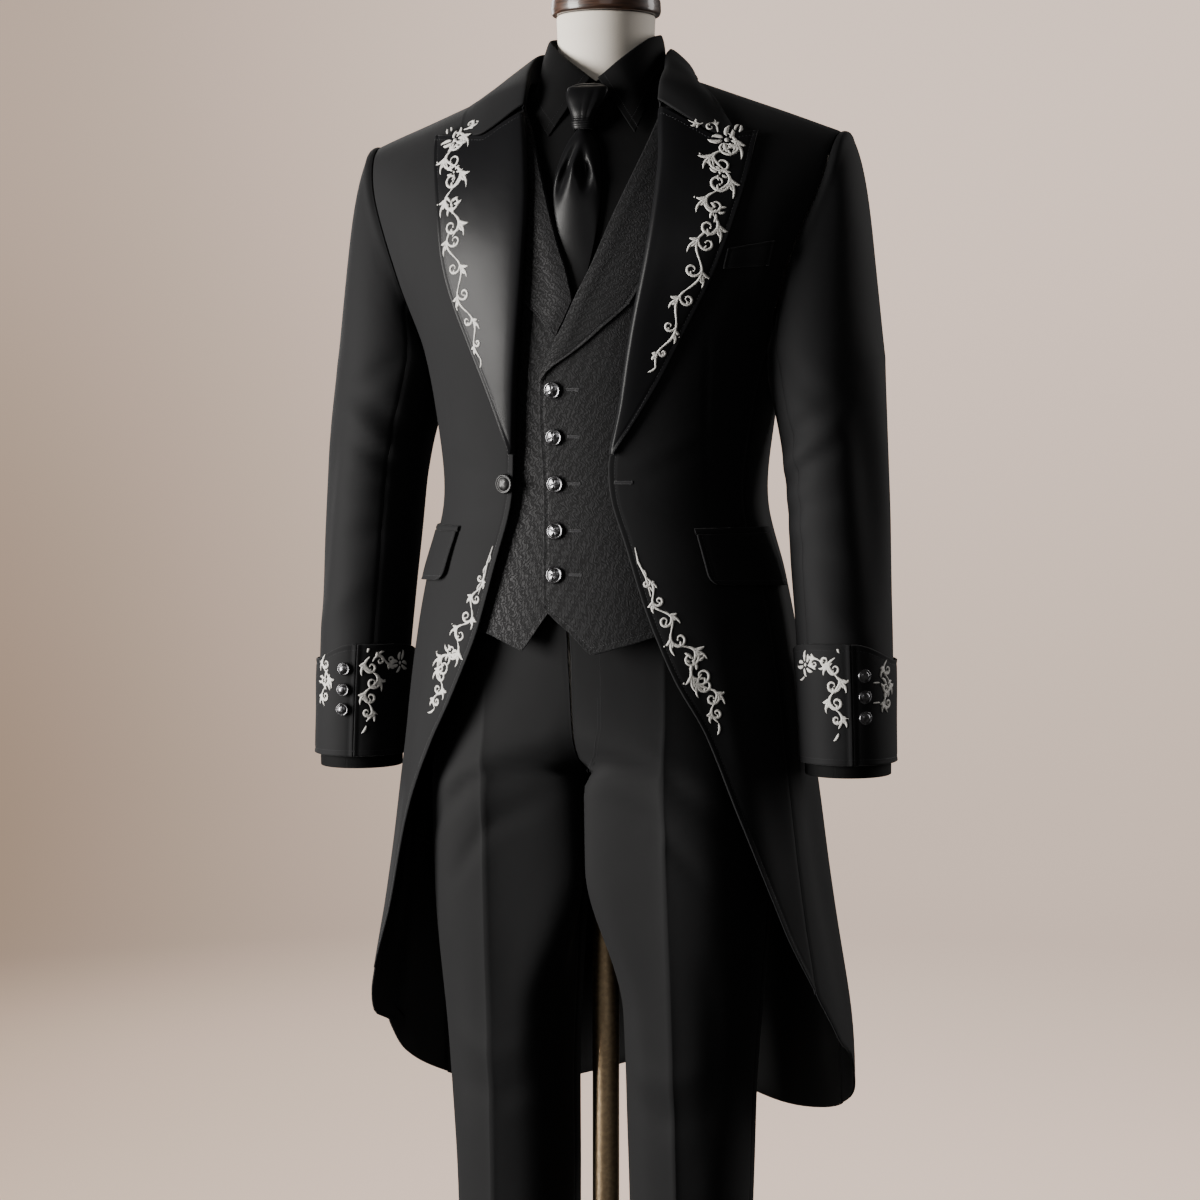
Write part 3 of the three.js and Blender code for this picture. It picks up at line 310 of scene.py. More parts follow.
COAT_WOOL = wool("coat_wool", (0.0037, 0.0038, 0.0043), (0.0093, 0.0094, 0.0105))
TROUSER_WOOL = wool("trouser_wool", (0.0034, 0.0034, 0.0038), (0.0085, 0.0086, 0.0094), 0.04)
SHIRT_COTTON = wool("shirt_cotton", (0.0018, 0.0018, 0.002), (0.0036, 0.0036, 0.004), 0.02, 0.12)
LAPEL_SATIN = satin("lapel_satin", (0.005, 0.005, 0.0056), (0.0095, 0.0096, 0.0107), 0.36, 0.12)
CRAVAT_SATIN = satin("cravat_satin", (0.0026, 0.0026, 0.003), (0.005, 0.005, 0.0058), 0.4, 0.22)
LINING_SATIN = satin("lining_satin", (0.0055, 0.0053, 0.0056), (0.011, 0.0105, 0.011), 0.4)
BACK_SATIN = satin("back_satin", (0.01, 0.01, 0.011), (0.017, 0.017, 0.019), 0.4)
BROCADE = brocade("brocade")


# %% Thread, metal, wood and linen
def thread(name, dark, light, pitch=0.00042):
    """Satin stitch: threads side by side across the stroke, whose UV runs along and across it."""
    paint = Paint(name, Specular_IOR_Level=0.5, Sheen_Weight=0.25, Sheen_Roughness=0.35, Roughness=0.5)
    u, _, _ = paint.axes(paint.uv())
    strands = (u * (2 * math.pi / pitch)).sine() * 0.5 + 0.5
    tint = paint.noise(paint.space(), 500, 2.0)
    paint.set("Base Color", paint.mix(strands * 0.6 + tint * 0.4, dark, light))
    paint.bump(strands, 0.0001, 0.6)
    return paint.material


def metal(name, colour, deep, roughness, metallic=1.0):
    paint = Paint(name, Metallic=metallic)
    grime = paint.noise(paint.space(), 260, 3.0)
    scratches = paint.noise(paint.space((900, 900, 60)), 1.0, 2.0)
    paint.set("Base Color", paint.mix(grime.step(0.3, 0.75), deep, colour))
    paint.set("Roughness", scratches * 0.12 + grime * 0.08 + roughness)
    paint.bump(scratches, 0.00003, 0.3)
    return paint.material


def varnished_wood(name):
    paint = Paint(name, Coat_Weight=0.6, Coat_Roughness=0.12, Specular_IOR_Level=0.5)
    grain = paint.noise(paint.space((14, 14, 150)), 1.0, 5.0, 0.6)
    rings = (grain * 26).sine() * 0.5 + 0.5
    paint.set("Base Color", paint.mix(rings * 0.6 + grain * 0.4, (0.012, 0.005, 0.003), (0.075, 0.03, 0.014)))
    paint.set("Roughness", rings * 0.1 + 0.34)
    paint.bump(rings, 0.0001, 0.25)
    return paint.material


def jersey(name):
    paint = Paint(name, Specular_IOR_Level=0.25, Sheen_Weight=0.2, Sheen_Roughness=0.5)
    u, v, _ = paint.axes(paint.uv())
    loops = (u * (2 * math.pi / 0.0016)).sine() * (v * (2 * math.pi / 0.0014)).sine() * 0.5 + 0.5
    drift = paint.noise(paint.uv(), 24, 3.0)
    paint.set("Base Color", paint.mix(drift * 0.7 + loops * 0.3, (0.8, 0.72, 0.62), (0.93, 0.87, 0.78)))
    paint.set("Roughness", loops * 0.08 + 0.8)
    paint.bump(loops, 0.00015, 0.4)
    return paint.material


IVORY_THREAD = thread("ivory_thread", (0.62, 0.6, 0.56), (0.9, 0.88, 0.84))
BLACK_THREAD = thread("black_thread", (0.012, 0.012, 0.013), (0.045, 0.045, 0.05), 0.0006)
GREY_THREAD = thread("grey_thread", (0.03, 0.03, 0.033), (0.09, 0.09, 0.096), 0.0006)
BUTTON_SILVER = metal("button_silver", (0.3, 0.3, 0.315), (0.1, 0.097, 0.1), 0.16)
POLE_BRASS = metal("pole_brass", (0.9, 0.68, 0.42), (0.7, 0.5, 0.3), 0.26)
BASE_ENAMEL = metal("base_enamel", (0.03, 0.028, 0.027), (0.016, 0.015, 0.015), 0.34, 0.2)
BUTTON_HORN = metal("button_horn", (0.012, 0.011, 0.012), (0.005, 0.0045, 0.005), 0.3, 0.0)
CAP_WOOD = varnished_wood("cap_wood")
FORM_JERSEY = jersey("form_jersey")
print("materials", len(bpy.data.materials))

# %% [markdown]
# ## The figure in numbers
# A tailor works from measures taken round the body at known heights, and so does this script. Each table
# gives half widths and depths at a height, in millimetres, and a piece is placed by an angle round the body
# and a nominal height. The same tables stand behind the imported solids, so the fine cloth falls on them.

# %% Measures
ARM_Z = 1300
SHOULDER_Z = 1540
NECK_POINT_X = 85
NECK_POINT_Z = 1558
SHOULDER_FALL = 0.375
TAIL_SEAM_Z = 676
CUFF_Z = {"L": 903, "R": 893}
CUFF_TOP_Z = {"L": 1016, "R": 1004}
SHIRT_CUFF_Z = {"L": 889, "R": 879}
TROUSER_HEM_Z = 70
WAISTBAND_Z = 1086
WAIST_TOP_Z = 1124
TORSO_FOOT_Z = 905
COAT_T = 2.0
LIE = 0.9
SEAM = 0.25
SQUARENESS = 2.3
COAT_LIFT = 6.6
LAYERS = {"shirt": (-16, 1.4, 0.7), "waistcoat": (-9, 1.6, 2.6), "coat": (0, COAT_T, COAT_LIFT)}

# Columns: height, half width, front depth, back depth
COAT_RINGS = [[500, 251, 161, 198], [620, 246, 158, 188], [760, 224, 150, 168], [900, 206, 142, 150],
    [1000, 193, 137, 140], [1080, 178, 130, 130], [1150, 161, 123, 116], [1220, 166, 127, 114],
    [1300, 181, 137, 122], [1380, 212, 140, 126], [1450, 238, 136, 120], [1540, 268, 126, 108]]
FORM_RINGS = [[905, 120, 66, 78], [918, 144, 84, 94], [950, 158, 96, 106], [1000, 160, 99, 106],
    [1060, 152, 103, 103], [1120, 147, 104, 99], [1150, 140, 102, 95], [1220, 145, 106, 93],
    [1300, 155, 113, 97], [1380, 187, 116, 101], [1450, 214, 112, 93], [1540, 247, 98, 64]]
# Columns: height, centre x, centre y, half width, half depth, crease height
TROUSER_RINGS = [[70, 90, 3, 52, 59, 5], [455, 92, -3, 59, 63, 5], [590, 94, -9, 63, 66, 5],
    [752, 97, -10, 73, 80, 5], [868, 95, -1, 78, 99, 5], [905, 64, 5, 110, 106, 4.5],
    [940, 30, 7, 143, 109, 4], [1000, 0, 5, 171, 113, 3], [1040, 0, 2, 169, 116, 1],
    [1086, 0, 0, 164.5, 117, 0], [1124, 0, -2.6, 154.4, 110.6, 0]]
# Columns: height, centre x, centre y, half width, half depth
SLEEVE_RINGS = [[870, 256, -25, 42, 46], [900, 256, -25, 42.5, 46.5], [1000, 252, -22, 44, 49],
    [1090, 246.5, -18, 46, 52], [1200, 238, -12, 49, 56], [1290, 225, -3, 57, 63],
    [1320, 223, -2, 58, 64]]


def along(rows, at):
    """Smooth interpolation of a table whose first column rises. One array comes back for each column."""
    table = np.asarray(rows, float)
    z = table[:, 0]
    at = np.clip(np.asarray(at, float), z[0], z[-1])
    last = len(z) - 1
    i = np.clip(np.searchsorted(z, at, side="right") - 1, 0, last - 1)
    low = np.maximum(np.arange(len(z)) - 1, 0)
    high = np.minimum(np.arange(len(z)) + 1, last)
    slope = (table[high, 1:] - table[low, 1:]) / (z[high] - z[low])[:, None]
    span = z[i + 1] - z[i]
    t = ((at - z[i]) / span)[..., None]
    span = span[..., None]
    value = ((2 * t**3 - 3 * t**2 + 1) * table[i, 1:] + (t**3 - 2 * t**2 + t) * span * slope[i]
        + (3 * t**2 - 2 * t**3) * table[i + 1, 1:] + (t**3 - t**2) * span * slope[i + 1])
    return np.moveaxis(value, -1, 0)


def straight(rows, at):
    table = np.asarray(rows, float)
    return np.interp(at, table[:, 0], table[:, 1])


def smoothstep(value, low, high):
    t = np.clip((np.asarray(value, float) - low) / (high - low), 0, 1)
    return t * t * (3 - 2 * t)


def power(value):
    return np.sign(value) * np.abs(value) ** (2 / SQUARENESS)


def unit(vectors):
    return vectors / np.maximum(np.linalg.norm(vectors, axis=-1, keepdims=True), 1e-9)


def on_body(angle, height, out=0.0, lift=0.0, rings=COAT_RINGS):
    """A point of the figure: degrees from the centre front to the wearer's left, and a nominal height."""
    angle, height = np.broadcast_arrays(np.asarray(angle, float), np.asarray(height, float))
    half, front, back = along(rings, height)
    a = np.radians(angle)
    x = (half + out) * power(np.sin(a))
    c = power(np.cos(a))
    h = np.clip((height - ARM_Z) / (SHOULDER_Z - ARM_Z), 0, 1)
    depth = np.where(c > 0, front, back) + out
    y = -depth * c * np.sqrt(1 - h**2.6) - np.sign(c) * np.where(h > 0.9, SEAM, 0)
    top = NECK_POINT_Z - SHOULDER_FALL * (np.hypot(x, 30) - NECK_POINT_X)
    z = np.where(h > 0, ARM_Z + h * (top - ARM_Z) + lift * smoothstep(h, 0.35, 1), height)
    return np.stack([x, y, z], -1)


def front_of_body(x, z, out):
    """The y of the front surface at an x and a real height."""
    top = NECK_POINT_Z - SHOULDER_FALL * (np.hypot(x, 30) - NECK_POINT_X)
    h = (z - ARM_Z) / (top - ARM_Z)
    height = np.where(h > 0, ARM_Z + (SHOULDER_Z - ARM_Z) * h, z)
    half, front, _ = along(COAT_RINGS, height)
    across = 1 - (np.abs(x) / (half + out)) ** SQUARENESS
    return -(front + out) * across ** (1 / SQUARENESS) * np.sqrt(1 - np.clip(h, 0, 1) ** 2.6)


print("chest at 1380 mm, front to back:", on_body(np.array([0, 180]), 1380)[:, 1].round())

# %% [markdown]
# ## From a grid of points to a piece of cloth
# A cut piece of cloth is a thin wall with a turned edge. The rows of a panel run between its two side edges,
# and they crowd together near the edges, where a real panel is folded and stitched. The wall is closed
# all round by a rim that bulges a little, so that an edge catches the light as the folded cloth does. Folds
# are soft ridges and troughs along short paths, each with its own length, width and depth.

# %% Grids
NEAR_EDGE = np.array([0, 0.7, 1.8, 3.2, 4.4, 5.6, 7.2, 9.8])
EDGE_ROWS = np.array([0, 0.8, 2.4, 5.0])


def row_heights(low, high, step=7):
    count = max(int((high - low) / step), 4)
    middle = np.linspace(low + EDGE_ROWS[-1], high - EDGE_ROWS[-1], count)[1:-1]
    return np.concatenate([low + EDGE_ROWS, middle, (high - EDGE_ROWS)[::-1]])


def lengths_across(grid):
    return np.linalg.norm(np.diff(grid, axis=1), axis=-1).sum(1)


def shares_across(lengths, cols):
    """Where the columns lie across rows of these lengths, close together near both edges."""
    near = NEAR_EDGE[None] / np.maximum(lengths, 34)[:, None]
    middle = near[:, -1:] + (1 - 2 * near[:, -1:]) * np.linspace(0, 1, cols)[None, 1:-1]
    return np.concatenate([near, middle, 1 - near[:, ::-1]], 1)


def panel_grid(rows, left, right, hem=None, crown=None, hem_span=130, crown_span=60, cols=34, place=on_body):
    """Angles and heights of a panel's points. hem and crown move its lowest and highest rows."""
    low, high = rows[0], rows[-1]
    base = np.asarray(rows, float)[:, None]

    def at(share):
        flat = left(base) + (right(base) - left(base)) * share
        height = base + 0 * share
        if hem is not None:
            height = height + (hem(flat) - low) * np.clip(1 - (base - low) / hem_span, 0, 1)
        if crown is not None:
            height = height + (crown(flat) - high) * np.clip(1 - (high - base) / crown_span, 0, 1)
        return left(height) + (right(height) - left(height)) * share, height

    lengths = lengths_across(place(*at(np.linspace(0, 1, 13)[None] + 0 * base)))
    return at(shares_across(lengths, cols))


def edge_distance(grid):
    """How far each point lies from its row's two ends and from its column's two ends, in millimetres."""
    across = np.concatenate([np.zeros((len(grid), 1)),
        np.linalg.norm(np.diff(grid, axis=1), axis=-1).cumsum(1)], 1)
    up = np.concatenate([np.zeros((1, grid.shape[1])),
        np.linalg.norm(np.diff(grid, axis=0), axis=-1).cumsum(0)], 0)
    return across, across[:, -1:] - across, up, up[-1:] - up


# %% Folds
def fold_depth(points, folds, side=1):
    """Sum of soft ridges (positive) and troughs (negative) along short paths of points in space."""
    total = np.zeros(points.shape[:-1])
    for path, width, depth in folds:
        path = np.asarray(path, float) * (side, 1, 1)
        best = np.full(total.shape, 1e9)
        share = np.zeros(total.shape)
        pieces = len(path) - 1
        for k in range(pieces):
            start, step = path[k], path[k + 1] - path[k]
            t = np.clip(((points - start) @ step) / (step @ step), 0, 1)
            far = np.linalg.norm(points - start - t[..., None] * step, axis=-1)
            nearer = far < best
            best = np.where(nearer, far, best)
            share = np.where(nearer, (k + t) / pieces, share)
        fade = np.sin(np.pi * np.clip(share * 0.86 + 0.07, 0, 1)) ** 0.7
        total += depth * fade * np.exp(-((best / width) ** 2))
    return total


def laid_folds(line, rows):
    """Folds from rows of a width, a depth and then pairs of numbers that place points on a surface."""
    return [(line(*np.reshape(row[2:], (-1, 2)).T), row[0], row[1]) for row in rows]


def shifted(outer, inner, depth):
    """Moves both faces of a wall outwards by a depth for each point."""
    away = unit(outer - inner) * depth[..., None]
    return outer + away, inner + away


def ruffle(grid, size, height, seed):
    """A faint unevenness, as in any cloth that has been worn and pressed."""
    rng = np.random.default_rng(seed)
    total = np.zeros(grid.shape[:-1])
    for _ in range(7):
        direction = unit(rng.normal(size=3) * (1, 1, 0.6))
        pitch = size * rng.uniform(0.6, 1.7)
        total += np.sin(grid @ direction * (2 * math.pi / pitch) + rng.uniform(0, 6.3))
    return total * height / 4


# %% The wall and its rim
RIM_BULGE = 0.35


def grid_faces(rows, cols, ring):
    index = np.arange(rows * cols).reshape(rows, cols)
    beside = np.roll(index, -1, 1) if ring else index[:, 1:]
    here = index if ring else index[:, :-1]
    quads = np.stack([here[:-1], beside[:-1], beside[1:], here[1:]], -1).reshape(-1, 4)
    if ring:
        loops = [index[0], index[-1][::-1]]
    else:
        loops = [np.concatenate([index[0], index[1:, -1], index[-1, -2::-1], index[-2:0:-1, 0]])]
    return quads, loops


def wall(outer, inner, ring=False):
    """Points, faces and the number of outer faces of a closed wall between two grids."""
    rows, cols = outer.shape[:2]
    count = rows * cols
    quads, loops = grid_faces(rows, cols, ring)
    flat_outer, flat_inner = outer.reshape(-1, 3), inner.reshape(-1, 3)
    points = [flat_outer, flat_inner]
    faces = [quads, quads[:, ::-1] + count]
    used = 2 * count
    for loop in loops:
        r, c = loop // cols, loop % cols
        inward = np.clip(r, 1, rows - 2) * cols + (c if ring else np.clip(c, 1, cols - 2))
        push = unit(flat_outer[loop] - flat_outer[inward])
        thickness = np.linalg.norm(flat_outer[loop] - flat_inner[loop], axis=-1, keepdims=True)
        points.append((flat_outer[loop] + flat_inner[loop]) / 2 + push * thickness * RIM_BULGE)
        rim = used + np.arange(len(loop))
        used += len(loop)
        after, rim_after = np.roll(loop, -1), np.roll(rim, -1)
        faces.append(np.stack([after, loop, rim, rim_after], -1))
        faces.append(np.stack([rim_after, rim, loop + count, after + count], -1))
    points = np.concatenate(points)
    across = outer[:, 1:] - outer[:, :-1]
    up = outer[1:] - outer[:-1]
    facing = (np.cross(across[:-1], up[:, :-1]) * (outer - inner)[:-1, :-1]).sum()
    faces = np.concatenate(faces)
    if facing < 0:
        faces = faces[:, ::-1]
    return points, faces, len(quads), loops


def grid_uv(outer, ring):
    """Metres across and up the cloth for each point of a grid."""
    step = np.linalg.norm(np.diff(outer, axis=1), axis=-1)
    across = np.concatenate([np.zeros((len(outer), 1)), step.cumsum(1)], 1)
    middle = outer.shape[1] // 2
    up = np.linalg.norm(np.diff(outer[:, middle], axis=0), axis=-1)
    height = np.concatenate([[0], up.cumsum()])
    u = across - (0 if ring else across[:, middle:middle + 1])
    return np.stack([u * MM, np.broadcast_to(height[:, None] * MM, u.shape)], -1)


def new_object(name, points, faces, uv=None, materials=(), inner_faces=None):
    """A mesh object at the origin from points in millimetres, with smooth shading and a UV map in metres."""
    mesh = bpy.data.meshes.new(name)
    mesh.from_pydata((np.asarray(points) * MM).tolist(), [], [tuple(map(int, face)) for face in faces])
    for material in materials:
        mesh.materials.append(material)
    if inner_faces is not None:
        mesh.polygons.foreach_set("material_index", inner_faces.astype(np.int32))
    mesh.polygons.foreach_set("use_smooth", np.ones(len(mesh.polygons), bool))
    if uv is not None:
        layer = mesh.uv_layers.new(name="cloth")
        corner = np.zeros(len(mesh.loops), np.int32)
        mesh.loops.foreach_get("vertex_index", corner)
        layer.data.foreach_set("uv", np.asarray(uv, np.float32)[corner].ravel())
    mesh.validate()
    mesh.update()
    made = bpy.data.objects.new(name, mesh)
    bpy.context.collection.objects.link(made)
    return made


SHEETS = {}


def cloth_piece(node, outer, inner, material, slot, ring=False, lining=None, held="hung",
        rests=("form_torso",)):
    """Builds a wall of cloth in place of a node, and notes the size it was cut to."""
    points, faces, outer_count, loops = wall(outer, inner, ring)
    uv = grid_uv(outer, ring).reshape(-1, 2)
    uv = np.concatenate([uv, uv, *[uv[loop] for loop in loops]])
    inner_faces = None
    materials = [material]
    if lining is not None:
        inner_faces = np.zeros(len(faces), bool)
        inner_faces[outer_count:2 * outer_count] = True
        materials.append(lining)
    made = new_object(node + "_cloth", points, faces, uv, materials, inner_faces)
    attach(made, "root")
    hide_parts(node)
    closed = np.concatenate([outer, outer[:, :1]], 1) if ring else outer
    width = lengths_across(closed).max()
    length = np.linalg.norm(np.diff(outer, axis=0), axis=-1).sum(0).max()
    across = closed[:-1, 1:] - closed[:-1, :-1]
    up = closed[1:, :-1] - closed[:-1, :-1]
    area = min(np.linalg.norm(np.cross(across, up), axis=-1).sum(), width * length)
    SHEETS[node] = {"object": made, "flat": (width * MM, length * MM), "held": held, "rests": rests,
        "area": float(area * MM**2), "with": [], "slot": slot, "grids": (outer, inner)}
    return made


def finish_piece(made, nodes=()):
    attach(made, "root")
    if nodes:
        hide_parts(*nodes)
    return made

# %% [markdown]
# ## The coat's body
# A tailcoat is cut in six body panels: two fronts, two side bodies and two backs, which part below the waist.
# Each panel is a grid between its two seams. The cutaway front edge, the seams and the rounded tail are small
# tables, and the folds are soft lines listed one by one: long falls in the skirts, drags towards the one
# button, and the pressed dart that shapes the waist. Both faces move together, so the cloth keeps its
# thickness.

# %% Edges of the coat
ARMHOLE = [[1314, 77], [1335, 72.5], [1380, 68], [1430, 66.5], [1480, 66], [1540, 61]]
COAT_EDGE = {
    "L": [[604, 95], [624, 87], [696, 70.8], [773, 59.4], [844, 50.3], [930, 40.3], [979, 31.6], [1028, 25.4],
    [1065, 21.7], [1115, 17.6], [1153, 14], [1182, 13.1], [1201, 13.8], [1248, 16.8], [1329, 19.5],
    [1398, 20.1], [1459, 18.6], [1510, 14.9], [1540, 13.8]],
    "R": [[604, 95], [624, 84], [686, 67.5], [739, 60.3], [802, 55.3], [859, 50.1], [915, 42], [957, 33.9],
    [1013, 26.2], [1056, 22.8], [1109, 19.6], [1152, 17], [1191, 15.8], [1249, 13.6], [1338, 9],
    [1386, 7.6], [1435, 7.4], [1495, 10], [1540, 13.8]],
}
SIDE_SEAM = [[560, 75], [1000, 74], [1150, 72], [1250, 74], [1314, 77]]
BACK_SEAM = [[500, 122], [800, 118], [1000, 112], [1150, 106], [1250, 103], [1314, 103]]
CENTRE_BACK = [[500, 178.2], [900, 179.2], [1050, 179.9], [1507, 179.9], [1528, 172], [1540, 166.2]]
TAIL_HEM = [[95, 604], [104, 566], [120, 534], [135, 517], [150, 513], [165, 527], [180, 550]]


def armhole_angle(height):
    low = 90 - 13 * np.sqrt(np.clip((height - ARM_Z) / 14, 0, 1))
    return np.where(height < ARMHOLE[0][0], low, along(ARMHOLE, height)[0])


def armhole_height(angle):
    return ARM_Z + 14 * ((angle - 90) / 13) ** 2


def coat_edge(tag, height):
    return along(COAT_EDGE[tag], height)[0]


def mirrored(points, side):
    return points * (side, 1, 1)


# %% Folds of the coat. Columns: width, depth, and then an angle and a height for each point of the path
FOLD_LIFT = 8


def coat_line(angle, height):
    return on_body(angle, height, COAT_T, FOLD_LIFT)


DART = laid_folds(coat_line, [(2.2, -0.9, 44.5, 1314, 48, 1240, 51.8, 1149)])
COAT_FOLDS = {tag: laid_folds(coat_line, rows) for tag, rows in {
    "L": [(26, -3.2, 58, 1020, 63, 900, 68, 740), (19, 2.4, 47, 1030, 53, 900, 62, 760),
    (15, -2.0, 38, 1000, 44, 920, 49, 860), (22, -3.0, 84, 1010, 86, 850, 92, 660),
    (24, 3.4, 98, 980, 101, 800, 104, 600), (20, -4.2, 112, 960, 113, 780, 116, 570),
    (26, 4.4, 129, 1000, 131, 800, 134, 540), (22, -4.0, 146, 930, 148, 760, 151, 545),
    (22, 3.0, 163, 980, 165, 800, 168, 570), (11, -1.0, 20, 1172, 32, 1186, 50, 1205),
    (13, -1.1, 22, 1150, 38, 1140, 60, 1128), (9, 0.8, 22, 1182, 36, 1202, 56, 1228),
    (17, -1.5, 60, 1330, 52, 1380, 47, 1440), (14, 1.2, 66, 1325, 58, 1370, 54, 1430),
    (20, -1.6, 108, 1330, 122, 1380, 140, 1400), (16, -1.4, 150, 1180, 165, 1150, 178, 1140)],
    "R": [(24, -3.0, 56, 1010, 62, 880, 67, 745), (21, 2.6, 45, 1040, 52, 890, 60, 770),
    (17, -1.8, 36, 1010, 42, 930, 50, 850), (24, -3.4, 82, 1000, 85, 860, 90, 650),
    (21, 3.0, 95, 1000, 98, 820, 103, 590), (23, -3.8, 108, 950, 111, 760, 115, 580),
    (24, 4.6, 126, 1010, 129, 790, 132, 545), (25, -4.4, 143, 950, 145, 740, 149, 550),
    (20, 3.2, 160, 960, 163, 790, 167, 575), (12, -1.3, 21, 1166, 34, 1178, 54, 1190),
    (10, 0.9, 22, 1158, 38, 1160, 58, 1164), (13, -1.1, 23, 1146, 36, 1134, 52, 1110),
    (17, -1.8, 58, 1322, 50, 1372, 44, 1430), (15, 1.4, 65, 1330, 57, 1372, 52, 1425),
    (20, -1.8, 110, 1325, 124, 1372, 142, 1390), (16, -1.2, 152, 1190, 166, 1165, 178, 1150)],
}.items()}


def coat_relief(points, tag, side):
    """How far the coat, and what lies on it, swells or sinks at these points."""
    low_fade = smoothstep(points[..., 2], 500, 640) * 0.4 + 0.6
    return fold_depth(points, COAT_FOLDS[tag], side) * low_fade + ruffle(points, 95, 0.35, 5)


def edge_relief(grid, stitched=(), seamed=(), stitch_at=5.0):
    """The turned ridge and stitch groove of free edges, and the soft dip of seams."""
    distance = dict(zip(("left", "right", "low", "high"), edge_distance(grid)))
    total = np.zeros(grid.shape[:-1])
    for edge in stitched:
        total += 0.32 * np.exp(-((distance[edge] / 2.6) ** 2))
        total -= 0.42 * np.exp(-(((distance[edge] - stitch_at) / 1.1) ** 2))
    for edge in seamed:
        total -= 0.6 * np.exp(-((distance[edge] / 2.4) ** 2))
    return total


# %% Coat fronts, sides and backs
def body_panel(side, layer, rows, left, right, raised=None, **shape):
    """Outer and inner grids of a panel in one of the three layers."""
    off, thickness, lift = LAYERS[layer]
    angle, height = panel_grid(rows, left, right, **shape)
    extra = raised(angle) if raised else 0
    return [mirrored(on_body(angle, height, off + out + extra, lift + out), side) for out in (thickness, 0)]


def coat_panel(node, tag, side, stitched, seamed, *shape, **more):
    outer, inner = body_panel(side, "coat", *shape, **more)
    depth = coat_relief(outer, tag, side) + edge_relief(outer, stitched, seamed)
    if "front" in node:
        depth = depth + fold_depth(outer, DART, side)
    cloth_piece(node, *shifted(outer, inner, depth), COAT_WOOL, "coat_cloth", lining=LINING_SATIN)


for tag, side in SIDES:
    def side_seam(height):
        return along(SIDE_SEAM, height)[0]

    def back_seam(height):
        return along(BACK_SEAM, height)[0]

    coat_panel(f"coat_front_{tag}", tag, side, ("left",), ("right",), row_heights(TAIL_SEAM_Z, SHOULDER_Z),
        lambda z: np.minimum(coat_edge(tag, z), side_seam(z) - 0.8),
        lambda z: np.where(z > ARMHOLE[0][0], armhole_angle(z), side_seam(z)) - 0.08, cols=44)
    coat_panel(f"coat_side_{tag}", tag, side, ("low",), ("left", "right"), row_heights(604, 1296),
        lambda z: np.maximum(side_seam(z) + 0.12, coat_edge(tag, z)), lambda z: back_seam(z) - 0.1,
        hem=lambda a: along(TAIL_HEM, a)[0], crown=armhole_height, cols=26)
    coat_panel(f"coat_back_{tag}", tag, side, ("low", "right"), ("left",), row_heights(545, SHOULDER_Z),
        lambda z: np.where(z > ARMHOLE[0][0], 180 - armhole_angle(z), back_seam(z)) + 0.1,
        lambda z: straight(CENTRE_BACK, z), hem=lambda a: along(TAIL_HEM, a)[0], cols=40)
print("coat body pieces", len(SHEETS))

# %% [markdown]
# ## Lapels and collar
# A peak lapel is the front edge turned back on itself. It is widest at the peak, and along the front edge it
# rolls over softly instead of lying flat, which gives the long light line beside the waistcoat. The roll is a
# rise that starts at the edge itself, so the satin wraps the coat's edge and hides it. The collar is one
# strip round the neck: a fall that lies on the shoulders, a crease, and a stand inside.

# %% Lapels
LAPEL_EDGE = {
    "L": [[1197, 14.4], [1229, 21.5], [1277, 30.9], [1341, 38.7], [1399, 41], [1459, 40.7], [1508, 38.3]],
    "R": [[1197, 16.2], [1249, 22.4], [1297, 28.1], [1334, 31.4], [1381, 32.8], [1439, 32.2], [1508, 33.2]],
}
LAPEL_TOP = {"L": (1508, 28.1, 1491), "R": (1498, 19.5, 1486)}
LAPEL_T = 1.8
ROLL_WRAP = 0.45
LAPEL_FOLDS = laid_folds(coat_line, [(16, -0.9, 24, 1290, 27, 1370, 24, 1440),
    (12, 0.6, 31, 1300, 36, 1380, 33, 1450)])


def lapel_rise(tag, angle, height):
    """How far the lapel's underside stands off the coat's inside, with its roll along the front edge."""
    inside = np.radians(angle - coat_edge(tag, height) + ROLL_WRAP) * 165
    wrap = -2.5 * np.exp(-((inside / 1.1) ** 2))
    loft = 1.5 * (inside / 10) * np.exp(1 - inside / 10)
    return COAT_T + LIE + smoothstep(height, 1420, 1500) + wrap + np.clip(loft, 0, 2)


def lapel_edge_angle(tag, height):
    return np.maximum(along(LAPEL_EDGE[tag], height)[0], coat_edge(tag, height) + 1.2)


def lapel_top(tag, angle):
    gorge, notch, low = LAPEL_TOP[tag]
    peak_height, peak = LAPEL_EDGE[tag][-1]
    inner = gorge + (low - gorge) * (angle - 10) / (notch - 10)
    outer = low + (peak_height - low) * (angle - notch) / (peak - notch)
    return np.where(angle > notch, outer, inner)


for tag, side in SIDES:
    angle, height = panel_grid(row_heights(1197, 1508, 5), lambda z: coat_edge(tag, z) - ROLL_WRAP,
        lambda z: lapel_edge_angle(tag, z), crown=lambda a: lapel_top(tag, a), cols=44)
    rise = lapel_rise(tag, angle, height)
    outer, inner = [mirrored(on_body(angle, height, rise + out, COAT_LIFT + rise + out), side)
        for out in (LAPEL_T, 0)]
    depth = coat_relief(outer, tag, side) + fold_depth(outer, LAPEL_FOLDS, side)
    depth = depth + edge_relief(outer, ("right", "high"), stitch_at=4.2)
    cloth_piece(f"coat_lapel_{tag}", *shifted(outer, inner, depth), LAPEL_SATIN, "satin",
        held="laid", rests=(f"coat_front_{tag}",))

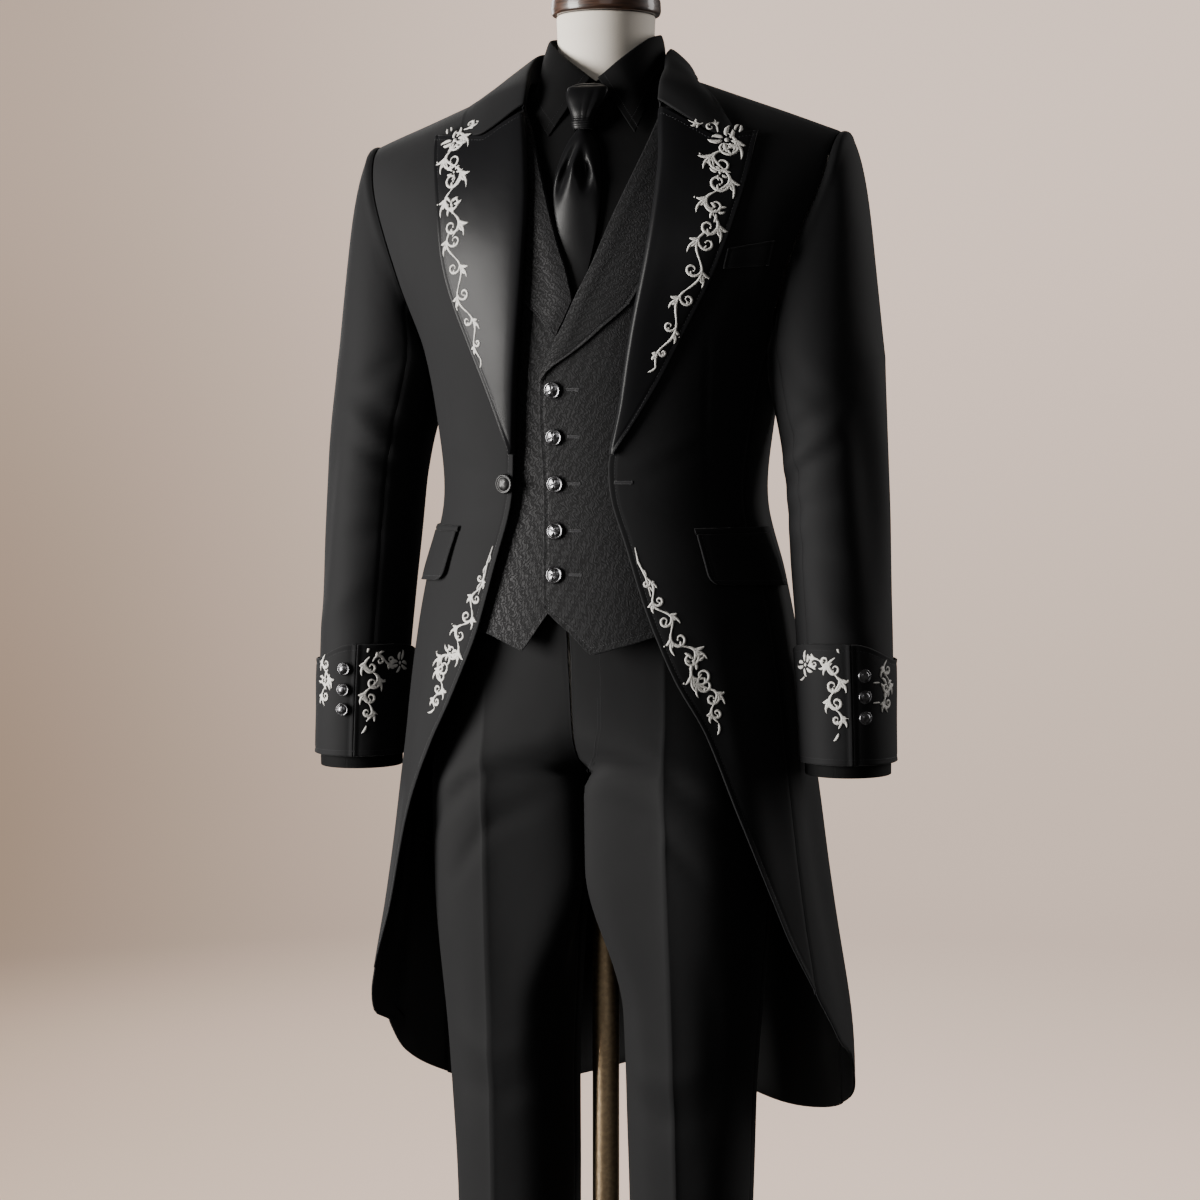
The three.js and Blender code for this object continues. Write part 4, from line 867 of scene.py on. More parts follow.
# %% Collar
COLLAR_FRONT = [[0.12, 25.5, 1524], [0.25, 21, 1533], [0.4, 17.8, 1538.5], [0.5, 16.8, 1540]]
COLLAR_BACK = [[0.5, 163.2, 1540], [0.65, 165, 1534], [0.82, 170.5, 1515], [1, 180, 1492]]
COLLAR_CREASE = [[0.4, 70, -18, 1584], [0.5, 68, 0, 1591], [0.65, 60, 29, 1592], [0.82, 41.5, 55, 1591],
    [1, 0, 67, 1590]]
# The front of the crease, the notch, and the corner of the fall
COLLAR_END = {"L": ([[0, 82, -75.5, 1534], [0.12, 79, -63, 1555], [0.25, 76, -40, 1570]], (28.1, 1495),
    [0, 32.4, 1503.5]),
    "R": ([[0, 59, -83, 1534], [0.12, 60, -71, 1554], [0.25, 66, -46, 1570]], (19.5, 1491),
    [0, 25.5, 1501])}
COLLAR_BED = COAT_T + LIE + 1


def on_coat(angle, height, out):
    return on_body(angle, height, COLLAR_BED + out, COAT_LIFT + COLLAR_BED + out)


def collar_side(tag, u, out):
    """Five points across the collar at each place u, from its outer edge over the crease to the stand."""
    crease_end, notch, corner = COLLAR_END[tag]
    front = along([corner, *COLLAR_FRONT], u)
    back = along(COLLAR_BACK, u)
    angle, height = np.where(u <= 0.5, front, back)
    outer = on_coat(angle, height, out)
    x, y, z = along([*crease_end, *COLLAR_CREASE], u)
    away = unit(np.stack([x, y, 0 * x], -1))
    place = np.stack([x, y, z], -1)
    rise = np.array([0, 0, 1.0])
    crease = place + away * out * 0.5 + rise * out
    mid = crease + (outer - crease) * 0.55 + away * (2 + out * 0.4) + rise * 1.5
    to_notch = np.clip(1 - u / 0.12, 0, 1)[:, None]
    mid = mid + (on_coat(*notch, out) - mid) * to_notch
    drop = 5 + 14 * smoothstep(u, 0.15, 0.4)[:, None]
    stand = place - rise * drop - away * (3 + out)
    turn = place - rise * 2 - away * (1.6 + out)
    return np.stack([outer, mid, crease, turn, stand], 1)


def splined(knots, shares):
    """Smooth lines through the points along axis 1, sampled at shares of each line."""
    position = shares * (knots.shape[1] - 1)
    i = np.clip(position.astype(int), 0, knots.shape[1] - 2)
    t = (position - i)[None, :, None]
    at = [knots[:, np.clip(i + k, 0, knots.shape[1] - 1)] for k in (-1, 0, 1, 2)]
    return 0.5 * (2 * at[1] + (at[2] - at[0]) * t + (2 * at[0] - 5 * at[1] + 4 * at[2] - at[3]) * t**2
        + (3 * at[1] - at[0] - 3 * at[2] + at[3]) * t**3)


def eased_ends(count, ends):
    """Shares from 0 to 1 that crowd at both ends, for a turned edge and its stitches."""
    ends = np.array(ends)
    return np.concatenate([ends, np.linspace(ends[-1], 1 - ends[-1], count)[1:-1], 1 - ends[::-1]])


NECK_ENDS = np.array([0, 0.004, 0.012, 0.024])


def around_neck(section, count, out):
    """Sections of both sides of the neck in one grid, from the left front round to the right front."""
    u = np.concatenate([NECK_ENDS, np.linspace(NECK_ENDS[-1], 1, count)[1:]])
    left = section("L", u, out)
    right = mirrored(section("R", u[-2::-1], out), -1)
    return np.concatenate([left, right])


COLLAR_SHARES = np.concatenate([[0, 0.006, 0.02, 0.04, 0.06, 0.09], np.linspace(0.12, 0.97, 26), [0.99, 1]])
outer, inner = [splined(around_neck(collar_side, 64, out), COLLAR_SHARES) for out in (2, 0)]
depth = edge_relief(outer, ("left",), stitch_at=4.5) + ruffle(outer, 60, 0.25, 9)
cloth_piece("coat_collar", *shifted(outer, inner, depth), COAT_WOOL, "coat_cloth", held="folded",
    rests=("coat_back_L", "coat_back_R"))
print("collar and lapels done", len(SHEETS))

# %% [markdown]
# ## Sleeves and cuffs
# A tailored sleeve has two pieces, a wide upper one and a narrower under one, and it hangs slightly
# forward. Its crown leaves the armhole almost level and then falls, with a little roll at the seam. Lines
# run from each point of the armhole down to the cuff, and neighbours share their normals, so the seams stay
# closed. The elbow's creases are short and slanting, deeper in front than behind, and no two are alike.

# %% Sleeve lines
SLEEVE_TOP = 1290
SLEEVE_T = 1.8
SHIRT_SHRINK = 6.6
SHIRT_CUFF_IN = 0.95
SHIRT_T = 1.2


def armhole_point(turn, out):
    a = np.radians(turn)
    height = ARM_Z + (SHOULDER_Z - ARM_Z) * (1 + np.sin(a)) / 2
    angle = armhole_angle(height)
    return on_body(np.where(np.cos(a) < 0, 180 - angle, angle), height, out, COAT_LIFT + out)


def sleeve_ring(turn, height, out):
    turn, height = np.broadcast_arrays(np.asarray(turn, float), np.asarray(height, float))
    cx, cy, rx, ry = along(SLEEVE_RINGS, height)
    a = np.radians(turn)
    return np.stack([cx + (rx + out) * np.sin(a), cy - (ry + out) * np.cos(a), height], -1)


def clear_of_body(points, gap):
    half, front, back = along(COAT_RINGS, points[..., 2])
    share = np.abs(points[..., 1]) / (np.where(points[..., 1] < 0, front, back) + gap)
    limit = (half + gap) * np.clip(1 - share**SQUARENESS, 0, 1) ** (1 / SQUARENESS)
    low = (points[..., 2] <= SLEEVE_RINGS[-1][0]) & (share < 1)
    x = np.where(low, np.maximum(points[..., 0], limit), points[..., 0])
    return np.stack([x, points[..., 1], points[..., 2]], -1)


def sleeve_grid(turns, cap_steps, heights, shrink=0.0):
    """Lines from the armhole down the arm: one row for each step, one column for each turn."""
    out = SLEEVE_T - shrink
    start = armhole_point(turns, SLEEVE_T) + (1.3 + shrink, 0, -shrink)
    end = sleeve_ring(turns, SLEEVE_TOP, out)
    high = np.clip((start[:, 2:] - ARM_Z) / (SHOULDER_Z - ARM_Z), 0, 1)
    leave = unit(np.concatenate([0.35 + 0.65 * high, 0 * high, 1.22 * high - 1], 1))
    first = start + leave * (4 + 22 * high)
    second = end + np.array([-0.13, 0, 1]) * (6 + 102 * high)
    t = np.asarray(cap_steps, float)[:, None, None]
    cap = (1 - t) ** 3 * start + 3 * t * (1 - t) ** 2 * first + 3 * t**2 * (1 - t) * second + t**3 * end
    arm = sleeve_ring(turns[None], np.asarray(heights, float)[:, None], out)
    return clear_of_body(np.concatenate([cap, arm]), COAT_T + SLEEVE_T + shrink)


def ring_normals(grid):
    across = np.roll(grid, -1, 1) - np.roll(grid, 1, 1)
    down = np.gradient(grid, axis=0)
    return unit(np.cross(down, across))


# %% Folds of the sleeves, in the same columns, with turns round the arm
def sleeve_line(turn, height):
    return sleeve_ring(turn, height, SLEEVE_T)


SLEEVE_FOLDS = {tag: laid_folds(sleeve_line, rows) for tag, rows in {
    "L": [(9, -2.4, -70, 1168, -30, 1180, 15, 1202), (8, 1.6, -66, 1182, -24, 1197, 20, 1222),
    (10, -2.0, -60, 1204, -20, 1222, 30, 1250), (9, -1.8, -72, 1140, -35, 1146, 8, 1150),
    (10, -1.4, -62, 1112, -30, 1108, 12, 1096), (20, -2.6, 40, 1270, 52, 1180, 56, 1060),
    (16, 1.6, 76, 1280, 84, 1190, 86, 1080), (13, -2.2, 150, 1200, 185, 1176, 232, 1160),
    (11, -1.8, 160, 1150, 190, 1140, 228, 1136), (13, -1.6, -35, 1286, -8, 1262, 22, 1244),
    (15, -1.5, 140, 1060, 165, 1030, 200, 1012), (14, 1.2, -20, 1060, 10, 1038, 44, 1018)],
    "R": [(10, -2.6, -72, 1176, -32, 1190, 18, 1216), (8, 1.8, -64, 1192, -20, 1209, 24, 1238),
    (11, -2.2, -58, 1218, -18, 1238, 32, 1268), (8, -1.8, -70, 1150, -36, 1158, 10, 1166),
    (11, -1.6, -60, 1120, -28, 1118, 14, 1108), (18, -2.2, 34, 1262, 46, 1170, 52, 1046),
    (17, 1.8, 70, 1276, 80, 1180, 84, 1070), (14, -2.2, 152, 1208, 186, 1184, 230, 1170),
    (11, -1.6, 158, 1160, 192, 1150, 226, 1148), (12, -1.5, -30, 1292, -4, 1270, 26, 1254),
    (16, -1.6, 142, 1066, 168, 1036, 204, 1020), (14, 1.3, -24, 1072, 8, 1050, 46, 1026)],
}.items()}

# %% Coat sleeves
SEAM_TURNS = (-35, 150, 325)
NEAR_SEAM = np.array([0.3, 0.9, 2.0, 3.4, 5.2, 7.6])


def sleeve_turns(start, end, count):
    between = np.linspace(start + NEAR_SEAM[-1], end - NEAR_SEAM[-1], count)[1:-1]
    return np.concatenate([start + NEAR_SEAM, between, end - NEAR_SEAM[::-1]])


upper_turns = sleeve_turns(*SEAM_TURNS[:2], 40)
under_turns = sleeve_turns(*SEAM_TURNS[1:], 34)
SLEEVE_FOLD_GAIN = 1.6
CAP_ROWS = np.concatenate([[0, 0.008, 0.02, 0.04, 0.065, 0.09], np.linspace(0.12, 0.97, 20)])
for tag, side in SIDES:
    arm_rows = row_heights(CUFF_Z[tag], SLEEVE_TOP, 7)[::-1]
    tube = mirrored(sleeve_grid(np.concatenate([upper_turns, under_turns]), CAP_ROWS, arm_rows), side)
    normals = ring_normals(tube) * side
    from_seam = np.linalg.norm(np.diff(tube, axis=0), axis=-1).cumsum(0)
    from_seam = np.concatenate([0 * from_seam[:1], from_seam])
    crown = smoothstep(tube[0, :, 2], 1380, 1500)
    depth = SLEEVE_FOLD_GAIN * fold_depth(tube, SLEEVE_FOLDS[tag], side) * smoothstep(from_seam, 4, 60)
    depth += 1.6 * crown * np.exp(-(((from_seam - 7) / 5) ** 2)) - 0.5 * np.exp(-((from_seam / 2) ** 2))
    depth += ruffle(tube, 85, 0.4, 11) * smoothstep(from_seam, 2, 30)
    first, last = len(upper_turns), len(upper_turns) + len(under_turns)
    for part, columns in (("upper", slice(0, first)), ("under", slice(first, last))):
        outer, away = tube[:, columns], normals[:, columns]
        lift = (depth[:, columns] + edge_relief(outer, seamed=("left", "right")))[..., None]
        cloth_piece(f"coat_sleeve_{part}_{tag}", outer + away * lift, outer + away * (lift - SLEEVE_T),
            COAT_WOOL, "coat_cloth", lining=LINING_SATIN,
            rests=(f"coat_front_{tag}", f"coat_back_{tag}"))

# %% Shirt sleeves, which show only at the wrist
SHIRT_TURNS = np.linspace(0, 360, 49)[:-1]
for tag, side in SIDES:
    knots = sleeve_grid(SHIRT_TURNS, [0.82], [1235, 1120, 1000], SHIRT_SHRINK)
    wrist = sleeve_ring(SHIRT_TURNS[None], np.array([[CUFF_Z[tag] + 2], [SHIRT_CUFF_Z[tag]]]), -SHIRT_CUFF_IN)
    knots = np.moveaxis(mirrored(np.concatenate([knots, wrist]), side), 0, 1)
    fine = np.concatenate([np.linspace(0, 0.8, 33), np.linspace(0.8, 0.99, 8)[1:], [0.995, 1]])
    spans = fine * (knots.shape[1] - 1)
    low = np.clip(spans.astype(int), 0, knots.shape[1] - 2)
    share = (spans - low)[None, :, None]
    outer = np.moveaxis(knots[:, low] * (1 - share) + knots[:, low + 1] * share, 1, 0)
    cloth_piece(f"shirt_sleeve_{tag}", outer, outer - ring_normals(outer) * side * SHIRT_T, SHIRT_COTTON,
        "shirt_cotton", ring=True, rests=(f"coat_sleeve_upper_{tag}",))

# %% Turned-back cuffs with their open slit
CUFF_SLIT = {"L": 21.5, "R": -15}
CUFF_OUT = (4.8, 2.8)


def cuff_top(tag, beyond):
    return CUFF_TOP_Z[tag] - 17 * smoothstep(beyond, 4, 70) * (1 - smoothstep(beyond, 200, 320))


def cuff_point(tag, beyond, share, out):
    """A point of the cuff: degrees past its slit, share of its height, distance off the sleeve's ring."""
    height = (CUFF_Z[tag] - 1) + (cuff_top(tag, beyond) - CUFF_Z[tag] + 1) * share
    flare = 0.7 * share**2 + 0.5 * np.exp(-((beyond / 5) ** 2)) + 0.9 * np.exp(-(((360 - beyond) / 6) ** 2))
    return sleeve_ring(CUFF_SLIT[tag] + beyond, height, out + flare)


beyond = np.concatenate([[0.9, 1.5, 2.6, 4.2, 5.8, 8], np.linspace(12, 348, 78),
    [352, 354.2, 355.8, 357.4, 358.5, 359.1]])[None]
share = np.concatenate([[0, 0.008, 0.025, 0.045, 0.07], np.linspace(0.1, 0.9, 14),
    [0.93, 0.955, 0.975, 0.992, 1]])
for tag, side in SIDES:
    outer, inner = [mirrored(cuff_point(tag, beyond, share[:, None], out), side) for out in CUFF_OUT]
    depth = edge_relief(outer, ("left", "right", "low", "high"), stitch_at=4) + ruffle(outer, 50, 0.25, 21)
    cloth_piece(f"coat_cuff_{tag}", *shifted(outer, inner, depth), COAT_WOOL, "coat_cloth", held="folded",
        rests=(f"coat_sleeve_upper_{tag}", f"coat_sleeve_under_{tag}"))
print("sleeves and cuffs done", len(SHEETS))

# %% [markdown]
# ## Pockets
# The flaps are small cloth leaves that hang from a corded slit. They follow every swell of the coat beneath,
# because they use the same relief, and their lower edge stands a little away. The breast welt is a strip
# sewn flat over its pocket, slanting up towards the shoulder.


# %% Flaps, jets and breast welt
FLAP_LENGTH = 125
FLAP_DROP = 48


def patch_on_coat(side, corners, s, t, bed, thickness, stand=0.0, inset=0.0):
    """Outer and inner grids between four corners, from the lower front round to the upper front."""
    a, b, c, d = corners
    drop = np.clip(inset - t * FLAP_DROP, 0, inset)
    round_corner = inset - np.sqrt(np.clip(inset**2 - drop**2, 0, None))
    s = s + (1 - s) * round_corner / FLAP_LENGTH
    angle = (a[0] + (b[0] - a[0]) * s) * (1 - t) + (d[0] + (c[0] - d[0]) * s) * t
    height = (a[1] + (b[1] - a[1]) * s) * (1 - t) + (d[1] + (c[1] - d[1]) * s) * t
    lift = bed + stand * (1 - t) ** 1.5
    return [mirrored(on_body(angle, height, lift + out, COAT_LIFT), side) for out in (thickness, 0)]


FLAP_S = eased_ends(30, [0, 0.006, 0.016, 0.03, 0.042])[None]
FLAP_T = eased_ends(12, [0, 0.015, 0.045, 0.085, 0.12])[:, None]
JET_T = np.linspace(0, 1, 7)[:, None]
FLAP_BED = COAT_T + LIE + 0.5
FLAP_FRONT = {"L": 44.2, "R": 42.6}
FLAP_BACK = 89
for tag, side in SIDES:
    front = FLAP_FRONT[tag]
    corners = [(front + 1.6, 1073), (FLAP_BACK + 1, 1069), (FLAP_BACK, 1120), (front, 1120)]
    outer, inner = patch_on_coat(side, corners, FLAP_S, FLAP_T, FLAP_BED, 2, stand=1.6, inset=11)
    depth = coat_relief(outer, tag, side) + edge_relief(outer, ("left", "right", "low"), stitch_at=4.6)
    cloth_piece(f"coat_flap_{tag}", *shifted(outer, inner, depth), COAT_WOOL, "coat_cloth",
        rests=(f"coat_front_{tag}",))
    corners = [(front - 0.6, 1120.8), (FLAP_BACK + 0.6, 1120.8), (FLAP_BACK + 0.6, 1126), (front - 0.6, 1126)]
    outer, inner = patch_on_coat(side, corners, FLAP_S, JET_T, FLAP_BED, 1.2)
    cord = 0.7 * np.sin(np.pi * JET_T) + coat_relief(outer, tag, side)
    cloth_piece(f"coat_pocket_jet_{tag}", *shifted(outer, inner, cord), COAT_WOOL, "coat_cloth",
        held="folded", rests=(f"coat_front_{tag}",))
WELT_CORNERS = [(43, 1375), (58.6, 1384), (57, 1409), (42.4, 1394)]
outer, inner = patch_on_coat(1, WELT_CORNERS, FLAP_S, FLAP_T, COAT_T + LIE, 1.8)
depth = coat_relief(outer, "L", 1) + edge_relief(outer, ("left", "right", "low", "high"), stitch_at=3)
cloth_piece("coat_breast_welt", *shifted(outer, inner, depth), COAT_WOOL, "coat_cloth", held="laid",
    rests=("coat_front_L",))
print("pockets done", len(SHEETS))

# %% [markdown]
# ## The waistcoat
# It has two brocade fronts that button over each other, narrow shawl lapels that cross at the top button,
# and a plain satin back. The hem dips to two points with a notch between them. Short drags run from each
# button, because the cloth is pulled there, and each front has a pressed dart.

# %% Waistcoat pieces
WAISTCOAT_EDGE = {
    "L": [[1046, -4.4], [1057, -4.6], [1172, -6.5], [1263, -6], [1300, -1.5], [1339, 3], [1366, 6.4],
    [1405, 9.9], [1450, 13.3], [1488, 15.1], [1540, 15.5]],
    "R": [[1046, 5], [1172, 5], [1263, 5], [1300, 4.6], [1337, 2.4], [1378, -0.3], [1425, -3.7], [1479, -8],
    [1510, -11.5], [1540, -15.5]],
}
WAISTCOAT_LAPEL = {
    "L": [[1264, -5.6], [1272, -4.3], [1291, 1.8], [1313, 9.9], [1334, 17.4], [1370, 23], [1430, 25],
    [1490, 23], [1530, 19]],
    "R": [[1308, -1.3], [1324, -5], [1338, -9.6], [1370, -16], [1430, -20], [1490, -21], [1530, -19]],
}
WAISTCOAT_HEM = {
    "L": [[-4.4, 1050], [6.6, 1005], [26, 1023], [60, 1036], [90, 1040]],
    "R": [[-5, 1075], [2.1, 1052], [10.4, 1007], [22.3, 1022], [60, 1036], [90, 1040]],
}
WAISTCOAT_ARMHOLE = [[1040, 89.8], [1262, 89.8], [1285, 80], [1305, 66], [1340, 55], [1380, 47], [1430, 40],
    [1480, 36], [1540, 31]]
WAISTCOAT_OFF, WAISTCOAT_T, WAISTCOAT_LIFT = LAYERS["waistcoat"]
WAISTCOAT_FOLDS = {tag: laid_folds(coat_line, rows) for tag, rows in {
    "L": [(5, -0.7, -2, 1213, 8, 1208, 22, 1199), (6, 0.5, 0, 1220, 10, 1218, 26, 1214),
    (5, -0.8, -2, 1168, 9, 1161, 24, 1150), (6, 0.5, 0, 1158, 10, 1150, 22, 1136),
    (5, -0.7, -2, 1123, 8, 1122, 20, 1126), (8, -0.8, 4, 1090, 14, 1100, 28, 1118),
    (10, 0.8, 2, 1060, 12, 1062, 24, 1076), (9, -0.9, 14, 1262, 26, 1250, 40, 1230),
    (2, -0.5, 24, 1290, 26, 1180, 28, 1080)],
    "R": [(5, -0.6, 3, 1213, 10, 1206, 24, 1194), (5, -0.7, 3, 1168, 11, 1160, 26, 1146),
    (7, 0.5, 4, 1186, 12, 1180, 24, 1172), (6, -0.7, 3, 1123, 10, 1128, 24, 1140),
    (9, -0.7, 4, 1084, 14, 1094, 28, 1112), (10, 0.7, 4, 1050, 12, 1054, 24, 1068),
    (2, -0.5, 22, 1290, 24, 1180, 26, 1080)],
}.items()}


def lap_over(angle):
    return 3.8 * (1 - smoothstep(angle, 12, 52))


def no_lap(angle):
    return 0 * angle


def waistcoat_relief(points, tag, side):
    return fold_depth(points, WAISTCOAT_FOLDS[tag], side) + ruffle(points, 70, 0.22, 31)


for tag, side in SIDES:
    over = lap_over if tag == "L" else no_lap

    def waistcoat_edge(height):
        return along(WAISTCOAT_EDGE[tag], height)[0] * side

    outer, inner = body_panel(side, "waistcoat", row_heights(1046, SHOULDER_Z, 6), waistcoat_edge,
        lambda z: straight(WAISTCOAT_ARMHOLE, z), raised=over,
        hem=lambda a: straight(WAISTCOAT_HEM[tag], a), cols=64)
    depth = waistcoat_relief(outer, tag, side) + edge_relief(outer, ("left", "low"), ("right",), 4)
    cloth_piece(f"waistcoat_front_{tag}", *shifted(outer, inner, depth), BROCADE, "brocade")

    def under_left(height):
        return 0.5 - along(WAISTCOAT_EDGE["L"], height)[0] if tag == "R" else -999 + 0 * height

    bottom = WAISTCOAT_LAPEL[tag][0][0]
    angle, height = panel_grid(row_heights(bottom, 1532, 6),
        lambda z: np.maximum(waistcoat_edge(z) + 0.1, under_left(z)),
        lambda z: straight(WAISTCOAT_LAPEL[tag], z) * side, cols=22)
    inward = np.radians(angle - np.maximum(waistcoat_edge(height), under_left(height))) * 130
    roll = 0.9 * np.exp(-(((inward - 5) / 4) ** 2))
    bed = WAISTCOAT_OFF + WAISTCOAT_T + 1.4 + over(angle) + roll
    rise = WAISTCOAT_LIFT + WAISTCOAT_T + 0.5
    outer, inner = [mirrored(on_body(angle, height, bed + out, rise + out), side) for out in (1.1, 0)]
    depth = waistcoat_relief(outer, tag, side) + edge_relief(outer, ("right",), stitch_at=3.6)
    cloth_piece(f"waistcoat_lapel_{tag}", *shifted(outer, inner, depth), BROCADE, "brocade", held="laid",
        rests=(f"waistcoat_front_{tag}",))


def back_neck(angle):
    return SHOULDER_Z - 34 * (1 - smoothstep(np.abs(180 - angle), 2, 15))


outer, inner = body_panel(1, "waistcoat", row_heights(1040, SHOULDER_Z, 12),
    lambda z: 180 - straight(WAISTCOAT_ARMHOLE, z) + 0.1,
    lambda z: 180 + straight(WAISTCOAT_ARMHOLE, z) - 0.1,
    crown=back_neck, crown_span=110, cols=50)
cloth_piece("waistcoat_back", *shifted(outer, inner, ruffle(outer, 80, 0.3, 37)), BACK_SATIN, "satin")
print("waistcoat done", len(SHEETS))

# %% [markdown]
# ## Shirt and cravat
# The shirt shows at the neck and the wrists. Its collar is a stand round the neck with two leaves that fall
# from its top fold. The cravat hides the closing: a short barrel of gathered satin with a narrow pinched
# foot, and below it a blade whose folds open like a fan from the knot and end in a point behind the
# waistcoat.

# %% Shirt body and collar
SHIRT_HEM_Z = 1096
SHIRT_NECK = [[SHIRT_HEM_Z, 0.15], [1503, 0.15], [1520, 5.5], [1533, 9.5], [SHOULDER_Z, 12]]
SHIRT_FOLDS = laid_folds(coat_line, [(5, -0.9, 4, 1500, 7, 1440, 8, 1380),
    (4, 0.8, 9, 1510, 12, 1450, 13, 1390),
    (2, -0.8, 3.4, 1515, 3.2, 1440, 3.0, 1360)])


def shirt_armhole(height):
    return np.where(height > ARM_Z, armhole_angle(height), 90)


for tag, side in SIDES:
    outer, inner = body_panel(side, "shirt", row_heights(SHIRT_HEM_Z, SHOULDER_Z, 10),
        lambda z: straight(SHIRT_NECK, z), lambda z: shirt_armhole(z) - 0.1, cols=36)
    cloth_piece(f"shirt_front_{tag}", *shifted(outer, inner,
        fold_depth(outer, SHIRT_FOLDS, side) + ruffle(outer, 60, 0.25, 41)), SHIRT_COTTON, "shirt_cotton")
outer, inner = body_panel(1, "shirt", row_heights(SHIRT_HEM_Z, SHOULDER_Z, 14),
    lambda z: 180 - shirt_armhole(z) + 0.1, lambda z: 180 + shirt_armhole(z) - 0.1,
    crown=back_neck, crown_span=110, cols=44)
cloth_piece("shirt_back", outer, inner, SHIRT_COTTON, "shirt_cotton")

SHIRT_POINT = {"L": [0, 3.5, -61, 1561, 50, -88.5, 1504], "R": [0, 3.5, -61, 1561, 37, -88.5, 1503]}
SHIRT_LEAF = [[0.15, 25, -55, 1578, 56, -69, 1529],
    [0.4, 49, -25, 1600, 60, -30, 1562], [0.6, 54.5, 4, 1608, 58, 5, 1575],
    [0.8, 39, 38, 1611, 43, 41, 1580], [1, 0, 54.5, 1613, 0, 58.5, 1582]]
SHIRT_STAND = [[0, 0.15, -57, 1558, 1551], [0.15, 23, -51, 1573, 1556], [0.4, 46, -24, 1594, 1567],
    [0.6, 52, 4, 1603, 1573], [0.8, 37.5, 37.5, 1606, 1570], [1, 0, 52.5, 1608, 1565]]
COLLAR_SHIFT = 9
LEAF_U = np.concatenate([[0, 0.006, 0.018, 0.034, 0.05], np.linspace(0.07, 1, 40)])
LEAF_T = eased_ends(14, [0, 0.02, 0.06, 0.1])


def leaf_grid(tag, side, out):
    rows = [SHIRT_POINT[tag], *SHIRT_LEAF]
    x, y, z, low_x, low_y, low_z = [column[:, None] for column in along(rows, LEAF_U)]
    t = LEAF_T[None]
    top = np.stack(np.broadcast_arrays(x, y, z), -1)
    low = np.stack(np.broadcast_arrays(low_x, low_y, low_z), -1)
    away = unit(np.stack([x + low_x, y + low_y, 0 * x], -1))
    swell = (out + 1.3 * np.sin(np.pi * t) + 0.9 * np.sin(np.pi * t**0.5))[..., None]
    points = mirrored(top + (low - top) * t[..., None] + away * (swell - 0.4) + (0.2, 0, 0), side)
    shift = COLLAR_SHIFT * (1 - smoothstep(LEAF_U, 0, 0.5))
    return points + np.stack([shift, 0 * shift, 0 * shift], -1)[:, None]


def stand_section(tag, u, out):
    x, y, top, foot = along(SHIRT_STAND, u)
    away = unit(np.stack([x, y, 0 * x], -1))
    shift = COLLAR_SHIFT * (1 - smoothstep(u, 0, 0.5)) * (1 if tag == "L" else -1)
    rows = [np.stack([x + shift, y, top + (foot - top) * t], -1) + away * out for t in np.linspace(0, 1, 7)]
    return np.stack(rows, 1)


for tag, side in SIDES:
    outer, inner = leaf_grid(tag, side, 1.2), leaf_grid(tag, side, 0)
    cloth_piece(f"shirt_collar_{tag}", *shifted(outer, inner,
        edge_relief(outer, ("right", "low"), stitch_at=5) * 0.7), SHIRT_COTTON, "shirt_cotton", held="folded",
        rests=("shirt_collar_stand",))
cloth_piece("shirt_collar_stand", around_neck(stand_section, 40, 0), around_neck(stand_section, 40, -1.2),
    SHIRT_COTTON, "shirt_cotton", held="folded", rests=("form_torso",))

# %% Cravat knot, a gathered barrel
KNOT_X = 9
KNOT_T = 1.3
KNOT_RINGS = [[1508.3, -94.5, 8.5, 6], [1511, -94.2, 9.6, 7], [1514, -93.6, 10.4, 7.8],
    [1518, -92, 10.2, 7.8],
    [1525, -89.6, 13, 9.2], [1532, -87, 16.4, 9.6], [1539, -84.4, 19, 9.4], [1545, -82, 19.8, 8.3],
    [1548.5, -80.8, 18.6, 6.4], [1550, -80, 16, 4.4]]
KNOT_GATHERS = [[-52, 9, 0.9], [-33, 7, -1.0], [-17, 8, 0.7], [-3, 6, -0.9], [13, 8, 0.8], [29, 7, -1.1],
    [47, 9, 0.9], [66, 10, -0.8]]
FOOT_BAND_Z = 1514.5


def knot_section(height, turns):
    y, half, depth = along(KNOT_RINGS, height)
    a = np.radians(turns)
    share = (height - 1508) / 42
    gather = sum(deep * np.exp(-(((turns - at * (0.75 + 0.35 * share) + 5 * share) / wide) ** 2))
        for at, wide, deep in KNOT_GATHERS)
    gather = 0.4 * gather * smoothstep(height, 1514, 1523) * (1 - 0.75 * smoothstep(height, 1540, 1549))
    from_band = height - FOOT_BAND_Z
    band = 0.3 * np.cos(from_band * 2 * math.pi / 2.4) * np.exp(-((from_band / 5) ** 4))
    swell = gather + band
    x = KNOT_X + (half + swell) * power(np.sin(a))
    return np.stack(np.broadcast_arrays(x, y - (depth + swell) * power(np.cos(a)), height), -1)


KNOT_TURNS = np.linspace(0, 360, 121)[:-1]
KNOT_HEIGHTS = np.concatenate([np.linspace(1508.3, 1548, 66), [1549, 1549.7, 1550]])


